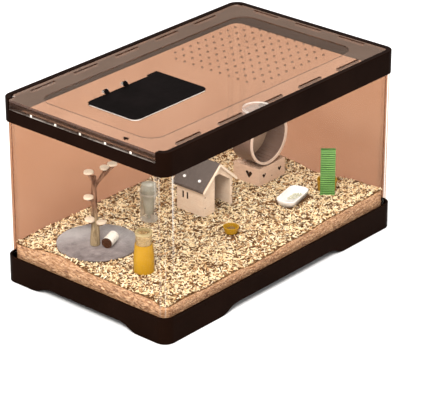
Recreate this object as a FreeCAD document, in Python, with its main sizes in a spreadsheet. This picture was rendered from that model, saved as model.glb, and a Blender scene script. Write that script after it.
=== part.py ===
"""Hamster cage: a black plinth tray, a clear walled tank with a black top frame, a clear vented
lid with a feeding hatch, and the furnishings that stand on the bedding inside.

Frame: +X along the long side, +Z up, origin on the ground under the middle of the cage.
Lengths are in millimetres.
"""
import FreeCAD, Part
import math
import os
import re
import Sketcher

SIZES = {
    # overall
    "cage_l": (600, "length of the top frame"),
    "cage_w": (366, "width of the top frame"),
    "cage_top": (340, "height of the frame's rim"),
    # plinth tray
    "tray_out": (2, "how far the tray stands out past the frame, each side"),
    "tray_tall": (48, "height of the tray"),
    "tray_wall": (3.6, "thickness of the tray's skirt"),
    "tray_corner": (20, "outer corner radius of the tray"),
    "floor_z": (14, "underside of the tray's floor"),
    "floor_thick": (3, "thickness of the tray's floor"),
    "arch_tall": (13, "height of the arches between the feet"),
    "foot_long": (146, "length of a foot along the long side"),
    "foot_short": (72, "length of a foot along the short side"),
    "arch_ramp": (24, "length of the curve from foot to arch"),
    "arch_round": (42, "radius of that curve"),
    "foot_block": (32, "side of the solid block in each foot"),
    "pad_r": (9, "radius of a rubber foot pad"),
    "pad_sink": (2, "depth of the recess for a foot pad"),
    "pad_proud": (0.6, "how far the foot pads hold the tray off the ground"),
    "pad_fit": (0.2, "clearance round a foot pad in its recess"),
    "pad_edge": (2, "how far a foot pad's middle lies inside the middle of its foot block"),
    # tank
    "tank_in": (2, "inset of the tank behind the frame's outer face"),
    "tank_low": (17, "underside of the tank walls, on the tray's floor"),
    "tank_high": (310, "top of the tank walls, inside the frame"),
    "sheet_thick": (3, "thickness of a wall panel"),
    "sheet_inset": (1.5, "inset of a panel behind the posts' outer face"),
    "post_thick": (6, "thickness of a corner post"),
    "post_corner": (18, "outer corner radius of a post"),
    "post_arm": (24, "length of a post's arms"),
    "slot_deep": (12, "how deep a panel sits in a post"),
    "slot_gap": (0.1, "clearance of a panel in its slot"),
    # top frame
    "frame_low": (298, "lower edge of the top frame"),
    "frame_wide": (10, "width of the frame's rim"),
    "frame_skin": (1.7, "wall of the frame outside the tank"),
    "frame_corner": (20, "outer corner radius of the frame"),
    "ledge_z": (334.6, "top of the ledge that carries the lid"),
    "ledge_wide": (6, "width of that ledge"),
    "ledge_thick": (4, "thickness of that ledge"),
    "rim_round": (1.2, "rounding along the frame's top edge"),
    "end_dip": (20, "depth of the cut in the frame's left end"),
    "end_half": (164, "half width of that cut"),
    # lid
    "lid_z": (334.8, "underside of the lid"),
    "lid_thick": (4, "thickness of the lid"),
    "lid_gap": (0.6, "gap between lid and frame"),
    "end_clear": (1.8, "gap behind the lid's left end, which swings past the frame"),
    "lid_notch": (3.3, "how far the lid's back corners are cut in, to swing inside the frame"),
    "notch_y": (158, "where those cuts start"),
    "lid_round": (8, "radius of the lid's corners"),
    "lid_back": (172, "back edge of the lid"),
    "panel_x0": (-268, "left edge of the sunk centre panel"),
    "panel_x1": (254, "right edge of the sunk centre panel"),
    "panel_half": (129.5, "half width of the sunk centre panel"),
    "panel_round": (30, "corner radius of the sunk centre panel"),
    "panel_sink": (1.4, "depth of the sunk centre panel"),
    "vent_slot_l": (57, "length of an edge slot"),
    "vent_slot_w": (4.6, "width of an edge slot"),
    "vent_slot_step": (102.4, "spacing of the slots along the long sides"),
    "vent_slot_x": (-15, "middle slot of the long sides"),
    "vent_slot_y": (162, "line of the slots along the long sides"),
    "vent_end_step": (97.5, "spacing of the slots along the right end"),
    "vent_end_x": (283, "line of the slots along the right end"),
    "vent_r": (2.2, "radius of a vent hole"),
    "vent_step": (20, "spacing of the vent holes"),
    "vent_x0": (21, "first column of vent holes"),
    "vent_y0": (-100, "first row of vent holes"),
    "vent_rows": (11, "rows, and columns, of vent holes"),
    "rail_thick": (3.6, "thickness of the lid's end rail"),
    "rail_inset": (0.4, "how far the rail lies behind the frame's outer face"),
    "rail_low": (320.6, "lower edge of the end rail"),
    "rail_groove": (0.8, "depth of the groove along the rail's outer face"),
    "groove_tall": (2, "height of that groove"),
    "groove_drop": (5, "how far the groove lies under the lid"),
    "lug_step": (55.6, "spacing of the lugs on the end rail"),
    "lug_side": (4, "width and height of a lug"),
    "lug_proud": (0.4, "how far a lug stands out of the rail"),
    "pivot_y": (168, "line of the lid's pivots"),
    "pivot_r": (1.2, "radius of a lid pivot pin"),
    "pivot_deep": (9, "how far the pivot bores run in from the lid's ends"),
    "pivot_long": (13, "length of a lid pivot pin"),
    "pivot_fit": (0.05, "radial clearance of a pivot pin in the frame"),
    "grip_x": (-60, "middle of the finger grip"),
    "grip_r": (26, "radius of the finger grip"),
    "grip_rim": (3, "width of the grip's raised rim"),
    "grip_thick": (2.4, "height of that rim"),
    "grip_web": (1.2, "thickness of the grip inside its rim"),
    "catch_x": (-291, "middle of the snap catch's prongs, nearly"),
    "catch_y": (-94, "front of the catch's stem"),
    "catch_long": (9, "length of the catch's prongs"),
    "catch_arm": (3, "width of the catch's stem and prongs"),
    "catch_thick": (2, "thickness of the catch"),
    # hatch
    "hatch_x0": (-226, "left edge of the hatch"),
    "hatch_x1": (-46, "right edge of the hatch"),
    "hatch_y0": (-53.5, "front edge of the hatch"),
    "hatch_y1": (59.5, "back edge of the hatch"),
    "hatch_tab": (5, "how far the tab stands out past the back edge"),
    "hatch_tab_w": (23, "width of the tab"),
    "hatch_round": (14, "corner radius of the hatch"),
    "hatch_thick": (2.4, "thickness of the hatch"),
    "hatch_gap": (0.7, "gap round the hatch"),
    "hatch_seat": (5, "width of the seat under the hatch"),
    "hatch_proud": (0.8, "how far the hatch stands above the sunk panel"),
    "hinge_y": (65.2, "line of the hatch's hinge"),
    "hinge_z": (341.4, "height of the hatch's hinge"),
    "hinge_r": (2.4, "radius of a hatch knuckle"),
    "hinge_pin_r": (0.8, "radius of a hatch hinge pin"),
    "knuckle_w": (8, "width of a hatch knuckle"),
    "knuckle_root": (9, "how far a knuckle's arm reaches onto the hatch"),
    "ear_thick": (2, "thickness of an ear beside a knuckle"),
    "ear_gap": (0.4, "gap between a knuckle and an ear"),
    "ear_fit": (0.05, "radial clearance of the pin in an ear"),
    # bedding and the things that stand on it
    "bed_top": (72, "top of the bedding"),
    "bed_half_l": (291, "half length of the bedding"),
    "bed_half_w": (174, "half width of the bedding"),
    "bed_round": (13, "corner radius of the bedding"),
    "mat_r": (71, "radius of the felt mat"),
    "mat_thick": (3, "thickness of the felt mat"),
    "mat_x": (-203, "middle of the mat"),
    "mat_y": (60, "middle of the mat"),
    "tree_x": (-213.5, "foot of the climbing tree"),
    "tree_y": (56, "foot of the climbing tree"),
    "tree_r": (5.5, "radius of the tree's trunk at the foot"),
    "tree_tall": (128, "height of the trunk above the mat"),
    "step_r": (9, "radius of a step on the tree"),
    "step_thick": (4, "thickness of a step"),
    "step_peg": (3.4, "length of the peg under a step"),
    # house
    "house_x": (-9, "left face of the house"),
    "house_y": (-9, "front face of the house"),
    "house_l": (76, "width of the house"),
    "house_w": (62, "depth of the house"),
    "house_eave": (54, "height of the house's side walls"),
    "house_peak": (87, "height of the gables' points"),
    "ply": (3, "thickness of the house's boards"),
    "roof_thick": (3, "thickness of a roof board"),
    "roof_over": (5, "overhang of the roof at the gables"),
    "roof_eave": (7, "overhang of the roof at the eaves"),
    "roof_lift": (0.2, "gap between the gables and the roof boards"),
    "ridge_half": (0.15, "half the gap between the boards at the ridge"),
    "roof_pin_r": (2.6, "radius of a roof screw cap"),
    "roof_pin_tall": (1.6, "height of a roof screw cap"),
    "door_jamb": (3, "width of the wall right of the doorway"),
    "door_drop": (18, "how far the doorway's point lies under the gable's"),
    "slit_w": (4, "width of a window slit"),
    "slit_tall": (13, "height of a window slit"),
    "slit_drop": (17, "how far a slit's top lies under the eaves"),
    # wheel and its stand
    "stand_x": (151, "left face of the stand"),
    "stand_l": (72, "length of the stand"),
    "stand_w": (60, "depth of the stand"),
    "stand_tall": (33, "height of the stand"),
    "heart_front": (10.5, "width of a heart in the stand's front"),
    "heart_side": (15.5, "width of the heart in the stand's left face"),
    "upright_foot": (13, "half width of the upright's foot"),
    "upright_head": (8, "half width of the upright's head"),
    "upright_thick": (4, "thickness of the upright"),
    "upright_over": (10, "height of the upright above the axle"),
    "upright_gap": (6, "gap between the wheel and the upright"),
    "wheel_x": (179, "middle of the wheel"),
    "wheel_z": (158, "height of the axle"),
    "wheel_r": (50, "outer radius of the wheel"),
    "wheel_wide": (46, "width of the wheel"),
    "wheel_wall": (2.4, "wall of the wheel"),
    "wheel_lip": (4.5, "width of the wheel's open rim"),
    "axle_r": (3, "radius of the axle"),
    "axle_fit": (0.06, "radial clearance of the wheel on its axle"),
    "axle_long": (28, "length of the axle"),
    "axle_in": (18, "how far the axle reaches into the wheel"),
    "hub_r": (8, "radius of the wheel's hub"),
    "hub_long": (14, "length of the wheel's hub"),
    "tread_count": (36, "ribs inside the wheel"),
    "tread_w": (1.6, "width of a rib"),
    "tread_tall": (1.1, "height of a rib"),
    "cap_r": (6, "radius of the cap on the axle's end"),
    "cap_thick": (3.4, "thickness of that cap"),
    "collar_r": (5.5, "radius of the collar behind the wheel"),
    "collar_gap": (0.4, "gap between the wheel and the collar"),
    "nut_r": (5.8, "corner radius of the nut"),
    "nut_thick": (3.6, "thickness of the nut"),
    # dishes
    "dish_l": (74, "length of the food dish"),
    "dish_w": (38, "width of the food dish"),
    "dish_tall": (11, "height of the food dish"),
    "dish_round": (13, "corner radius of the dish"),
    "dish_rim": (2.6, "wall of the dish"),
    "dish_x": (150, "middle of the dish"),
    "dish_y": (-78, "middle of the dish"),
    "dish_turn": (14, "turn of the dish from the long side, degrees"),
    "pot_x": (-226, "middle of the treat pot"),
    "pot_y": (-68, "middle of the treat pot"),
    "pot_r": (17.5, "radius of the pot at the foot"),
    "pot_tall": (50, "height of the pot"),
    "pot_wall": (3.5, "wall of the pot"),
    "sleeve_r": (14, "radius of the clear sleeve on the pot"),
    "sleeve_tall": (18, "height of the clear sleeve"),
    "sleeve_wall": (1.5, "wall of the clear sleeve"),
    "ring_tall": (4, "height of the ring on the sleeve"),
    "tub_x": (-21, "middle of the small tub"),
    "tub_y": (-82, "middle of the small tub"),
    "tub_r": (14, "radius of the small tub"),
    "tub_tall": (11, "height of the small tub"),
    "hoop_x": (222.6, "middle of the large tub behind the ladder"),
    "hoop_y": (-97.5, "middle of the large tub behind the ladder"),
    "hoop_r": (18, "radius of the large tub"),
    "hoop_tall": (20, "height of the large tub"),
    "tub_flare": (3, "how much wider the small tub is at its rim"),
    "hoop_flare": (2, "how much wider the large tub is at its rim"),
    "tub_wall": (2, "wall and floor of the tubs"),
    # water bottle and log
    "bottle_x": (-76, "middle of the water bottle"),
    "bottle_y": (58, "middle of the water bottle"),
    "bottle_r": (14.5, "largest radius of the bottle"),
    "bottle_tall": (60, "height of the bottle's body"),
    "bottle_neck": (8, "radius of the bottle's shoulder"),
    "nozzle_r": (2.6, "radius of the drinking nozzle"),
    "nozzle_long": (8, "length of the drinking nozzle"),
    "bottle_foot_r": (16, "radius of the stand's foot"),
    "bottle_foot": (2, "thickness of the stand's foot"),
    "strap_w": (9, "width of the stand's upright strap"),
    "strap_thick": (2, "thickness of the strap and its ring"),
    "ring_gap": (0.2, "clearance of the bottle in its ring"),
    "ring_height": (4, "height of the ring round the bottle"),
    "log_x": (-211, "near end of the gnawing log"),
    "log_y": (31, "near end of the gnawing log"),
    "log_r": (9.5, "radius of the gnawing log"),
    "log_long": (30, "length of the gnawing log"),
    # ladder
    "ladder_x": (206, "middle of the ladder's foot"),
    "ladder_y": (-112, "middle of the ladder's foot"),
    "ladder_w": (26, "width of the ladder"),
    "ladder_tall": (88, "height of the ladder"),
    "ladder_thick": (7, "thickness of the ladder"),
    "ladder_turn": (-49, "turn of the ladder about its own upright, degrees"),
    "rung_step": (4.2, "spacing of the ladder's ribs"),
    "rung_deep": (1.2, "depth of the grooves between the ribs"),
}

doc = FreeCAD.newDocument("hamster_cage")
sheet = doc.addObject("Spreadsheet::Sheet", "Sheet")


def fill_sheet():
    for row, (alias, (size, note)) in enumerate(SIZES.items(), start=1):
        sheet.set("A%d" % row, alias)
        sheet.set("B%d" % row, str(size))
        sheet.setAlias("B%d" % row, alias)
        sheet.set("C%d" % row, note)
    doc.recompute()


def linked(text):
    """The expression with each size name pointing at its cell."""
    return re.sub(r"[a-z]\w*", lambda m: "Sheet." + m.group() if m.group() in SIZES else m.group(), str(text))


def value(text):
    """The present value of an expression in size names."""
    return float(sheet.evalExpression(linked(text)))


# ---- helpers for PartDesign bodies ----


def new_body(label):
    body = doc.addObject("PartDesign::Body", label)
    body.Label = label
    return body


def sketch_on(body, role="XY_Plane", offset="0"):
    """A sketch on one of the body's own planes, moved along that plane's normal."""
    sketch = body.newObject("Sketcher::SketchObject", body.Name + "_sketch")
    plane = [p for p in body.Origin.OriginFeatures if p.Role == role][0]
    sketch.AttachmentSupport = (plane, [""])
    sketch.MapMode = "FlatFace"
    sketch.setExpression("AttachmentOffset.Base.z", linked(offset))
    return sketch


def pin_point(sketch, geometry, end, x, y):
    """Hold a point at x, y from the sketch's origin."""
    for kind, text in (("DistanceX", x), ("DistanceY", y)):
        index = sketch.addConstraint(Sketcher.Constraint(kind, -1, 1, geometry, end, value(text)))
        sketch.setExpression("Constraints[%d]" % index, linked(text))


def draw_polygon(sketch, corners):
    """A closed outline through corners given as pairs of expressions."""
    places = [FreeCAD.Vector(value(x), value(y), 0) for x, y in corners]
    first = sketch.GeometryCount
    count = len(corners)
    for i in range(count):
        sketch.addGeometry(Part.LineSegment(places[i], places[(i + 1) % count]))
    for i in range(count):
        following = first + (i + 1) % count
        sketch.addConstraint(Sketcher.Constraint("Coincident", first + i, 2, following, 1))
    for i, (x, y) in enumerate(corners):
        pin_point(sketch, first + i, 1, x, y)


def draw_rectangle(sketch, x0, y0, x1, y1):
    draw_polygon(sketch, [(x0, y0), (x1, y0), (x1, y1), (x0, y1)])


def draw_rounded(sketch, x0, y0, x1, y1, radius):
    """A rectangle with round corners."""
    turn = "(%s)" % radius
    sides = [
        ((x0 + " + " + turn, y0), (x1 + " - " + turn, y0)),
        ((x1, y0 + " + " + turn), (x1, y1 + " - " + turn)),
        ((x1 + " - " + turn, y1), (x0 + " + " + turn, y1)),
        ((x0, y1 + " - " + turn), (x0, y0 + " + " + turn)),
    ]
    first = sketch.GeometryCount
    for ends in sides:
        start, end = [FreeCAD.Vector(value(x), value(y), 0) for x, y in ends]
        sketch.addGeometry(Part.LineSegment(start, end))
    r = value(radius)
    for i, quarter in enumerate((270, 0, 90, 180)):
        across, up = sides[i][1], sides[(i + 1) % 4][0]
        on_x, on_y = (across[0], up[1]) if i % 2 == 0 else (up[0], across[1])
        circle = Part.Circle(FreeCAD.Vector(value(on_x), value(on_y), 0), FreeCAD.Vector(0, 0, 1), r)
        start_angle = math.radians(quarter)
        sketch.addGeometry(Part.ArcOfCircle(circle, start_angle, start_angle + math.pi / 2))
    for i, ends in enumerate(sides):
        pin_point(sketch, first + i, 1, *ends[0])
        pin_point(sketch, first + i, 2, *ends[1])
        arc = first + 4 + i
        sketch.addConstraint(Sketcher.Constraint("Coincident", arc, 1, first + i, 2))
        sketch.addConstraint(Sketcher.Constraint("Coincident", arc, 2, first + (i + 1) % 4, 1))
        size = sketch.addConstraint(Sketcher.Constraint("Radius", arc, r))
        sketch.setExpression("Constraints[%d]" % size, linked(radius))


def draw_centred(sketch, half_l, half_w, radius):
    """A round cornered rectangle about the sketch's origin."""
    draw_rounded(sketch, "-(%s)" % half_l, "-(%s)" % half_w, "(%s)" % half_l, "(%s)" % half_w, radius)


def draw_circle(sketch, x, y, radius):
    centre = FreeCAD.Vector(value(x), value(y), 0)
    index = sketch.addGeometry(Part.Circle(centre, FreeCAD.Vector(0, 0, 1), value(radius)))
    pin_point(sketch, index, 3, x, y)
    size = sketch.addConstraint(Sketcher.Constraint("Radius", index, value(radius)))
    sketch.setExpression("Constraints[%d]" % size, linked(radius))


def pad(body, sketch, length, backwards=False, both_ways=False):
    feature = body.newObject("PartDesign::Pad", body.Name + "_pad")
    feature.Profile = sketch
    feature.setExpression("Length", linked(length))
    feature.Reversed = backwards
    if both_ways:
        feature.Midplane = True
    doc.recompute()
    return feature


def pocket(body, sketch, length, backwards=False, both_ways=False):
    """A pocket, which has to remove material."""
    before = body.Shape.Volume
    feature = body.newObject("PartDesign::Pocket", body.Name + "_pocket")
    feature.Profile = sketch
    feature.setExpression("Length", linked(length))
    feature.Reversed = backwards
    if both_ways:
        feature.Midplane = True
    doc.recompute()
    if not body.Shape.Volume < before:
        raise RuntimeError(body.Label + ": a pocket removed nothing")
    return feature


def revolve(body, sketch):
    """A full turn about the sketch's upright axis."""
    feature = body.newObject("PartDesign::Revolution", body.Name + "_turn")
    feature.Profile = sketch
    feature.ReferenceAxis = (sketch, ["V_Axis"])
    feature.Angle = 360
    doc.recompute()
    return feature


def fillet(body, radius, wanted):
    """Round the edges of the body's tip whose ends and middle pass the test."""
    base = body.Tip
    names = ["Edge%d" % (i + 1) for i, edge in enumerate(base.Shape.Edges) if wanted(edge)]
    if not names:
        raise RuntimeError(body.Label + ": no edge to round")
    feature = body.newObject("PartDesign::Fillet", body.Name + "_fillet")
    feature.Base = (base, names)
    feature.setExpression("Radius", linked(radius))
    doc.recompute()
    return feature


def upright(edge, low=None, half_l=None, half_w=None):
    """True for a vertical straight edge, at given distances from the middle planes if stated."""
    box = edge.BoundBox
    if box.XLength > 0.01 or box.YLength > 0.01 or box.ZLength < 0.5:
        return False
    if low is not None and abs(box.ZMin - value(low)) > 0.05:
        return False
    if half_l is not None and abs(abs(box.XMin) - value(half_l)) > 0.05:
        return False
    return half_w is None or abs(abs(box.YMin) - value(half_w)) <= 0.05


def place(body, x="0", y="0", z="0", turn=None):
    for axis, text in (("x", x), ("y", y), ("z", z)):
        body.setExpression(".Placement.Base." + axis, linked(text))
    if turn is not None:
        body.setExpression(".Placement.Rotation.Angle", linked(turn))


# ---- helpers for Part primitives ----


def block(name, size, low):
    """A box from its three sizes and its low corner."""
    box = doc.addObject("Part::Box", name)
    box.Label = name
    for prop, text in zip(("Length", "Width", "Height"), size):
        box.setExpression(prop, linked(text))
    place(box, *low)
    return box


def rod(name, radius, length, start, axis=(0, 0, 1)):
    """A cylinder from the middle of its first end, along axis."""
    bar = doc.addObject("Part::Cylinder", name)
    bar.Label = name
    bar.setExpression("Radius", linked(radius))
    bar.setExpression("Height", linked(length))
    turn = FreeCAD.Rotation(FreeCAD.Vector(0, 0, 1), FreeCAD.Vector(*axis))
    bar.Placement = FreeCAD.Placement(FreeCAD.Vector(0, 0, 0), turn)
    place(bar, *start)
    return bar


def group(name, members):
    """Separate solids of one kind, kept in one node."""
    compound = doc.addObject("Part::Compound", name)
    compound.Label = name
    compound.Links = members
    return compound


def cut(name, base, tool):
    result = doc.addObject("Part::Cut", name)
    result.Label = name
    result.Base = base
    result.Tool = tool
    return result


def joined(name, members):
    result = doc.addObject("Part::MultiFuse", name)
    result.Label = name
    result.Shapes = members
    result.Refine = True
    return result


# ---- the plinth tray ----


def base_tray():
    body = new_body("base_tray")
    half_l = "cage_l / 2 + tray_out"
    half_w = "cage_w / 2 + tray_out"
    outline = sketch_on(body, offset="pad_proud")
    draw_centred(outline, half_l, half_w, "tray_corner")
    pad(body, outline, "tray_tall - pad_proud")
    well = sketch_on(body, offset="tray_tall")
    in_l = half_l + " - tray_wall"
    in_w = half_w + " - tray_wall"
    draw_centred(well, in_l, in_w, "tray_corner - tray_wall")
    pocket(body, well, "tray_tall - floor_z - floor_thick")
    for clear_l, clear_w in ((in_l, half_w + " - foot_block"), (half_l + " - foot_block", in_w)):
        hollow = sketch_on(body)
        draw_rectangle(hollow, "-(%s)" % clear_l, "-(%s)" % clear_w, clear_l, clear_w)
        pocket(body, hollow, "floor_z", backwards=True)
    for role, half, foot in (("XZ_Plane", half_l, "foot_long"), ("YZ_Plane", half_w, "foot_short")):
        arch = sketch_on(body, role)
        foot_end = "(%s - %s)" % (half, foot)
        top_end = "(%s - arch_ramp)" % foot_end
        low = [("-" + foot_end, "pad_proud"), (foot_end, "pad_proud")]
        corners = low + [(top_end, "arch_tall"), ("-" + top_end, "arch_tall")]
        draw_polygon(arch, corners)
        pocket(body, arch, "cage_l + 4 * tray_out", both_ways=True)
        fillet(body, "arch_round", lambda e: arch_bend(e, role, foot_end, top_end))
    for x_sign in (-1, 1):
        for y_sign in (-1, 1):
            recess = sketch_on(body, offset="pad_proud")
            draw_circle(recess, pad_x(x_sign), pad_y(y_sign), "pad_r + pad_fit")
            pocket(body, recess, "pad_sink", backwards=True)
    return body


def arch_bend(edge, role, foot_end, top_end):
    """True for the short edges across the skirt where an arch bends."""
    box = edge.BoundBox
    across, along = (box.YLength, box.XMin) if role == "XZ_Plane" else (box.XLength, box.YMin)
    if max(box.ZLength, box.XLength + box.YLength - across) > 0.01 or across < 1:
        return False
    at_foot = abs(abs(along) - value(foot_end)) < 0.05 and abs(box.ZMin - value("pad_proud")) < 0.01
    at_top = abs(abs(along) - value(top_end)) < 0.05 and abs(box.ZMin - value("arch_tall")) < 0.01
    return at_foot or at_top


def pad_x(sign):
    return "%d * (cage_l / 2 + tray_out - foot_block / 2 - pad_edge)" % sign


def pad_y(sign):
    return "%d * (cage_w / 2 + tray_out - foot_block / 2 - pad_edge)" % sign


def foot_pads():
    pads = []
    for x_sign in (-1, 1):
        for y_sign in (-1, 1):
            name = "foot_pad_%d" % len(pads)
            start = (pad_x(x_sign), pad_y(y_sign), "0")
            pads.append(rod(name, "pad_r", "pad_proud + pad_sink", start))
    return group("foot_pads", pads)


# ---- the tank ----


def corner_post(name, x_sign, y_sign):
    """A clear corner strip: a rounded angle with a slot in the end of each arm for a panel."""
    body = new_body(name)
    out_l = "cage_l / 2 - tank_in"
    out_w = "cage_w / 2 - tank_in"
    arm_l = "%d * (%s - post_arm)" % (x_sign, out_l)
    arm_w = "%d * (%s - post_arm)" % (y_sign, out_w)
    section = sketch_on(body, offset="tank_low")
    draw_polygon(section, post_outline(x_sign, y_sign, out_l, out_w, arm_l, arm_w))
    pad(body, section, "tank_high - tank_low")
    fillet(body, "post_corner", lambda e: upright(e, None, out_l, out_w))
    in_l, in_w = out_l + " - post_thick", out_w + " - post_thick"
    fillet(body, "post_corner - post_thick", lambda e: upright(e, None, in_l, in_w))
    wide = "(sheet_thick + 2 * slot_gap)"
    inset = "(sheet_inset - slot_gap)"
    slots = sketch_on(body, offset="tank_high")
    draw_rectangle(
        slots,
        "%d * (%s - %s - %s)" % (x_sign, out_l, inset, wide),
        arm_w,
        "%d * (%s - %s)" % (x_sign, out_l, inset),
        "%d * (%s - post_arm + slot_deep)" % (y_sign, out_w),
    )
    draw_rectangle(
        slots,
        arm_l,
        "%d * (%s - %s - %s)" % (y_sign, out_w, inset, wide),
        "%d * (%s - post_arm + slot_deep)" % (x_sign, out_l),
        "%d * (%s - %s)" % (y_sign, out_w, inset),
    )
    pocket(body, slots, "tank_high - tank_low")
    return body


def post_outline(x_sign, y_sign, out_l, out_w, arm_l, arm_w):
    """The angle's six corners, from the outer one round to the end of the long side's arm."""
    corner_l, corner_w = "%d * (%s)" % (x_sign, out_l), "%d * (%s)" % (y_sign, out_w)
    inner_l = "%d * (%s - post_thick)" % (x_sign, out_l)
    inner_w = "%d * (%s - post_thick)" % (y_sign, out_w)
    return [
        (corner_l, corner_w),
        (corner_l, arm_w),
        (inner_l, arm_w),
        (inner_l, inner_w),
        (arm_l, inner_w),
        (arm_l, corner_w),
    ]


def long_panel(name, y_sign):
    half = "(cage_l / 2 - tank_in - post_arm + slot_deep - slot_gap)"
    outer = "(cage_w / 2 - tank_in - sheet_inset)"
    low_y = outer + " - sheet_thick" if y_sign > 0 else "-" + outer
    return block(
        name,
        ("2 * " + half, "sheet_thick", "tank_high - tank_low"),
        ("-" + half, low_y, "tank_low"),
    )


def short_panel(name, x_sign):
    half = "(cage_w / 2 - tank_in - post_arm + slot_deep - slot_gap)"
    outer = "(cage_l / 2 - tank_in - sheet_inset)"
    low_x = outer + " - sheet_thick" if x_sign > 0 else "-" + outer
    return block(
        name,
        ("sheet_thick", "2 * " + half, "tank_high - tank_low"),
        (low_x, "-" + half, "tank_low"),
    )


def top_frame():
    body = new_body("top_frame")
    outline = sketch_on(body, offset="frame_low")
    draw_centred(outline, "cage_l / 2", "cage_w / 2", "frame_corner")
    pad(body, outline, "cage_top - frame_low")
    levels = (
        # how far the opening lies inside the frame's outer face, its top and its height
        ("frame_wide", "cage_top", "cage_top - frame_low"),
        ("frame_skin", "tank_high", "tank_high - frame_low"),
    )
    for inset, top, tall in levels:
        opening = sketch_on(body, offset=top)
        draw_centred(opening, "cage_l / 2 - " + inset, "cage_w / 2 - " + inset, "frame_corner - " + inset)
        pocket(body, opening, tall)
    add_ledge(body)
    dip = sketch_on(body, offset="cage_top")
    draw_rectangle(dip, "-cage_l / 2 - 1", "-end_half", "-cage_l / 2 + frame_wide + 1", "end_half")
    pocket(body, dip, "end_dip")
    sockets = sketch_on(body, "YZ_Plane", "-cage_l / 2 + frame_wide / 2")
    draw_circle(sockets, "pivot_y", "lid_z + lid_thick / 2", "pivot_r + pivot_fit")
    pocket(body, sockets, "cage_l - frame_wide", backwards=True)
    fillet(body, "rim_round", rim_edge)
    return body


def add_ledge(body):
    """The ledge along the frame's front and right sides that the lid rests on."""
    in_l, in_w = "(cage_l / 2 - frame_wide)", "(cage_w / 2 - frame_wide)"
    reach_l, reach_w = in_l + " - frame_corner", in_w + " - frame_corner"
    ledge = sketch_on(body, offset="ledge_z")
    draw_rectangle(ledge, "-(%s)" % reach_l, "-%s - 1" % in_w, reach_l, "-%s + ledge_wide" % in_w)
    draw_rectangle(ledge, in_l + " - ledge_wide", "-(%s)" % reach_w, in_l + " + 1", reach_w)
    pad(body, ledge, "ledge_thick", backwards=True)


def rim_edge(edge):
    """True for the long straight edges round the outside of the rim's top."""
    box = edge.BoundBox
    at_top = abs(box.ZMin - value("cage_top")) < 0.01 and box.ZLength < 0.01
    outside_l = abs(abs(box.XMin) - value("cage_l / 2")) < 0.01 and box.XLength < 0.01
    outside_w = abs(abs(box.YMin) - value("cage_w / 2")) < 0.01 and box.YLength < 0.01
    return at_top and (outside_l or outside_w)


# ---- the lid ----


LID_TOP = "(lid_z + lid_thick)"
LID_END = "(cage_l / 2 - frame_wide - lid_gap)"
LID_FRONT = "(cage_w / 2 - frame_wide - lid_gap)"
SUNK_TOP = "(lid_z + lid_thick - panel_sink)"


def lid_panel():
    """The clear lid: its sheet, the sunk centre panel, the hatch's seat, the vents and the pivot bores."""
    body = new_body("lid_panel")
    back = LID_END + " - lid_notch"
    outline = sketch_on(body, offset="lid_z")
    draw_polygon(outline, lid_outline(back))
    pad(body, outline, "lid_thick")
    for half_l, half_w in ((LID_END, LID_FRONT), (back, "lid_back")):
        fillet(body, "lid_round", lambda e: upright(e, None, half_l, half_w))
    panel = sketch_on(body, offset=LID_TOP)
    draw_rounded(panel, "panel_x0", "-panel_half", "panel_x1", "panel_half", "panel_round")
    pocket(body, panel, "panel_sink")
    cut_hatch_seat(body)
    cut_vents(body)
    for side, backwards in (("-", True), ("", False)):
        bore = sketch_on(body, "YZ_Plane", side + LID_END)
        draw_circle(bore, "pivot_y", "lid_z + lid_thick / 2", "pivot_r")
        pocket(body, bore, "pivot_deep", backwards=backwards)
    return body


def lid_outline(back):
    """The lid's corners: cut in at the back to clear the frame, and run out over the cut left end."""
    over = "-(cage_l / 2 - rail_inset)"
    return [
        (LID_END, "-" + LID_FRONT),
        (LID_END, "notch_y"),
        (back, "notch_y"),
        (back, "lid_back"),
        ("-(%s)" % back, "lid_back"),
        ("-(%s)" % back, "end_half - end_clear"),
        (over, "end_half - end_clear"),
        (over, "-(end_half - lid_gap)"),
        ("-" + LID_END, "-(end_half - lid_gap)"),
        ("-" + LID_END, "-" + LID_FRONT),
    ]


def cut_hatch_seat(body):
    """The recess that the hatch lies in, and the opening under it."""
    seat = sketch_on(body, offset=LID_TOP)
    draw_polygon(seat, hatch_outline("hatch_gap"))
    pocket(body, seat, "panel_sink + hatch_thick - hatch_proud")
    fillet(body, "hatch_round", hatch_corner("hatch_gap"))
    opening = sketch_on(body, offset=LID_TOP)
    draw_rounded(
        opening,
        "hatch_x0 + hatch_seat",
        "hatch_y0 + hatch_seat",
        "hatch_x1 - hatch_seat",
        "hatch_y1 - hatch_seat",
        "hatch_round - hatch_seat",
    )
    pocket(body, opening, "lid_thick")


def cut_vents(body):
    """Slots round the margin, and a square field of round holes without its four corners."""
    slots = sketch_on(body, offset=LID_TOP)
    for i in range(-2, 3):
        for side in ("-vent_slot_y", "vent_slot_y"):
            middle = "vent_slot_x + %d * vent_slot_step" % i
            draw_slot(slots, middle, side, "vent_slot_l", "vent_slot_w")
    for i in range(-1, 2):
        draw_slot(slots, "vent_end_x", "%d * vent_end_step" % i, "vent_slot_w", "vent_slot_l")
    pocket(body, slots, "lid_thick")
    holes = sketch_on(body, offset=LID_TOP)
    rows = int(value("vent_rows"))
    ends = (0, rows - 1)
    for column in range(rows):
        for row in range(rows):
            if column in ends and row in ends:
                continue
            x = value("vent_x0 + %d * vent_step" % column)
            y = value("vent_y0 + %d * vent_step" % row)
            centre = FreeCAD.Vector(x, y, 0)
            holes.addGeometry(Part.Circle(centre, FreeCAD.Vector(0, 0, 1), value("vent_r")))
    pocket(body, holes, "lid_thick")


def draw_slot(sketch, x, y, length, width):
    """A slot drawn as a rectangle round its middle."""
    draw_rectangle(
        sketch,
        "%s - (%s) / 2" % (x, length),
        "%s - (%s) / 2" % (y, width),
        "%s + (%s) / 2" % (x, length),
        "%s + (%s) / 2" % (y, width),
    )


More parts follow.
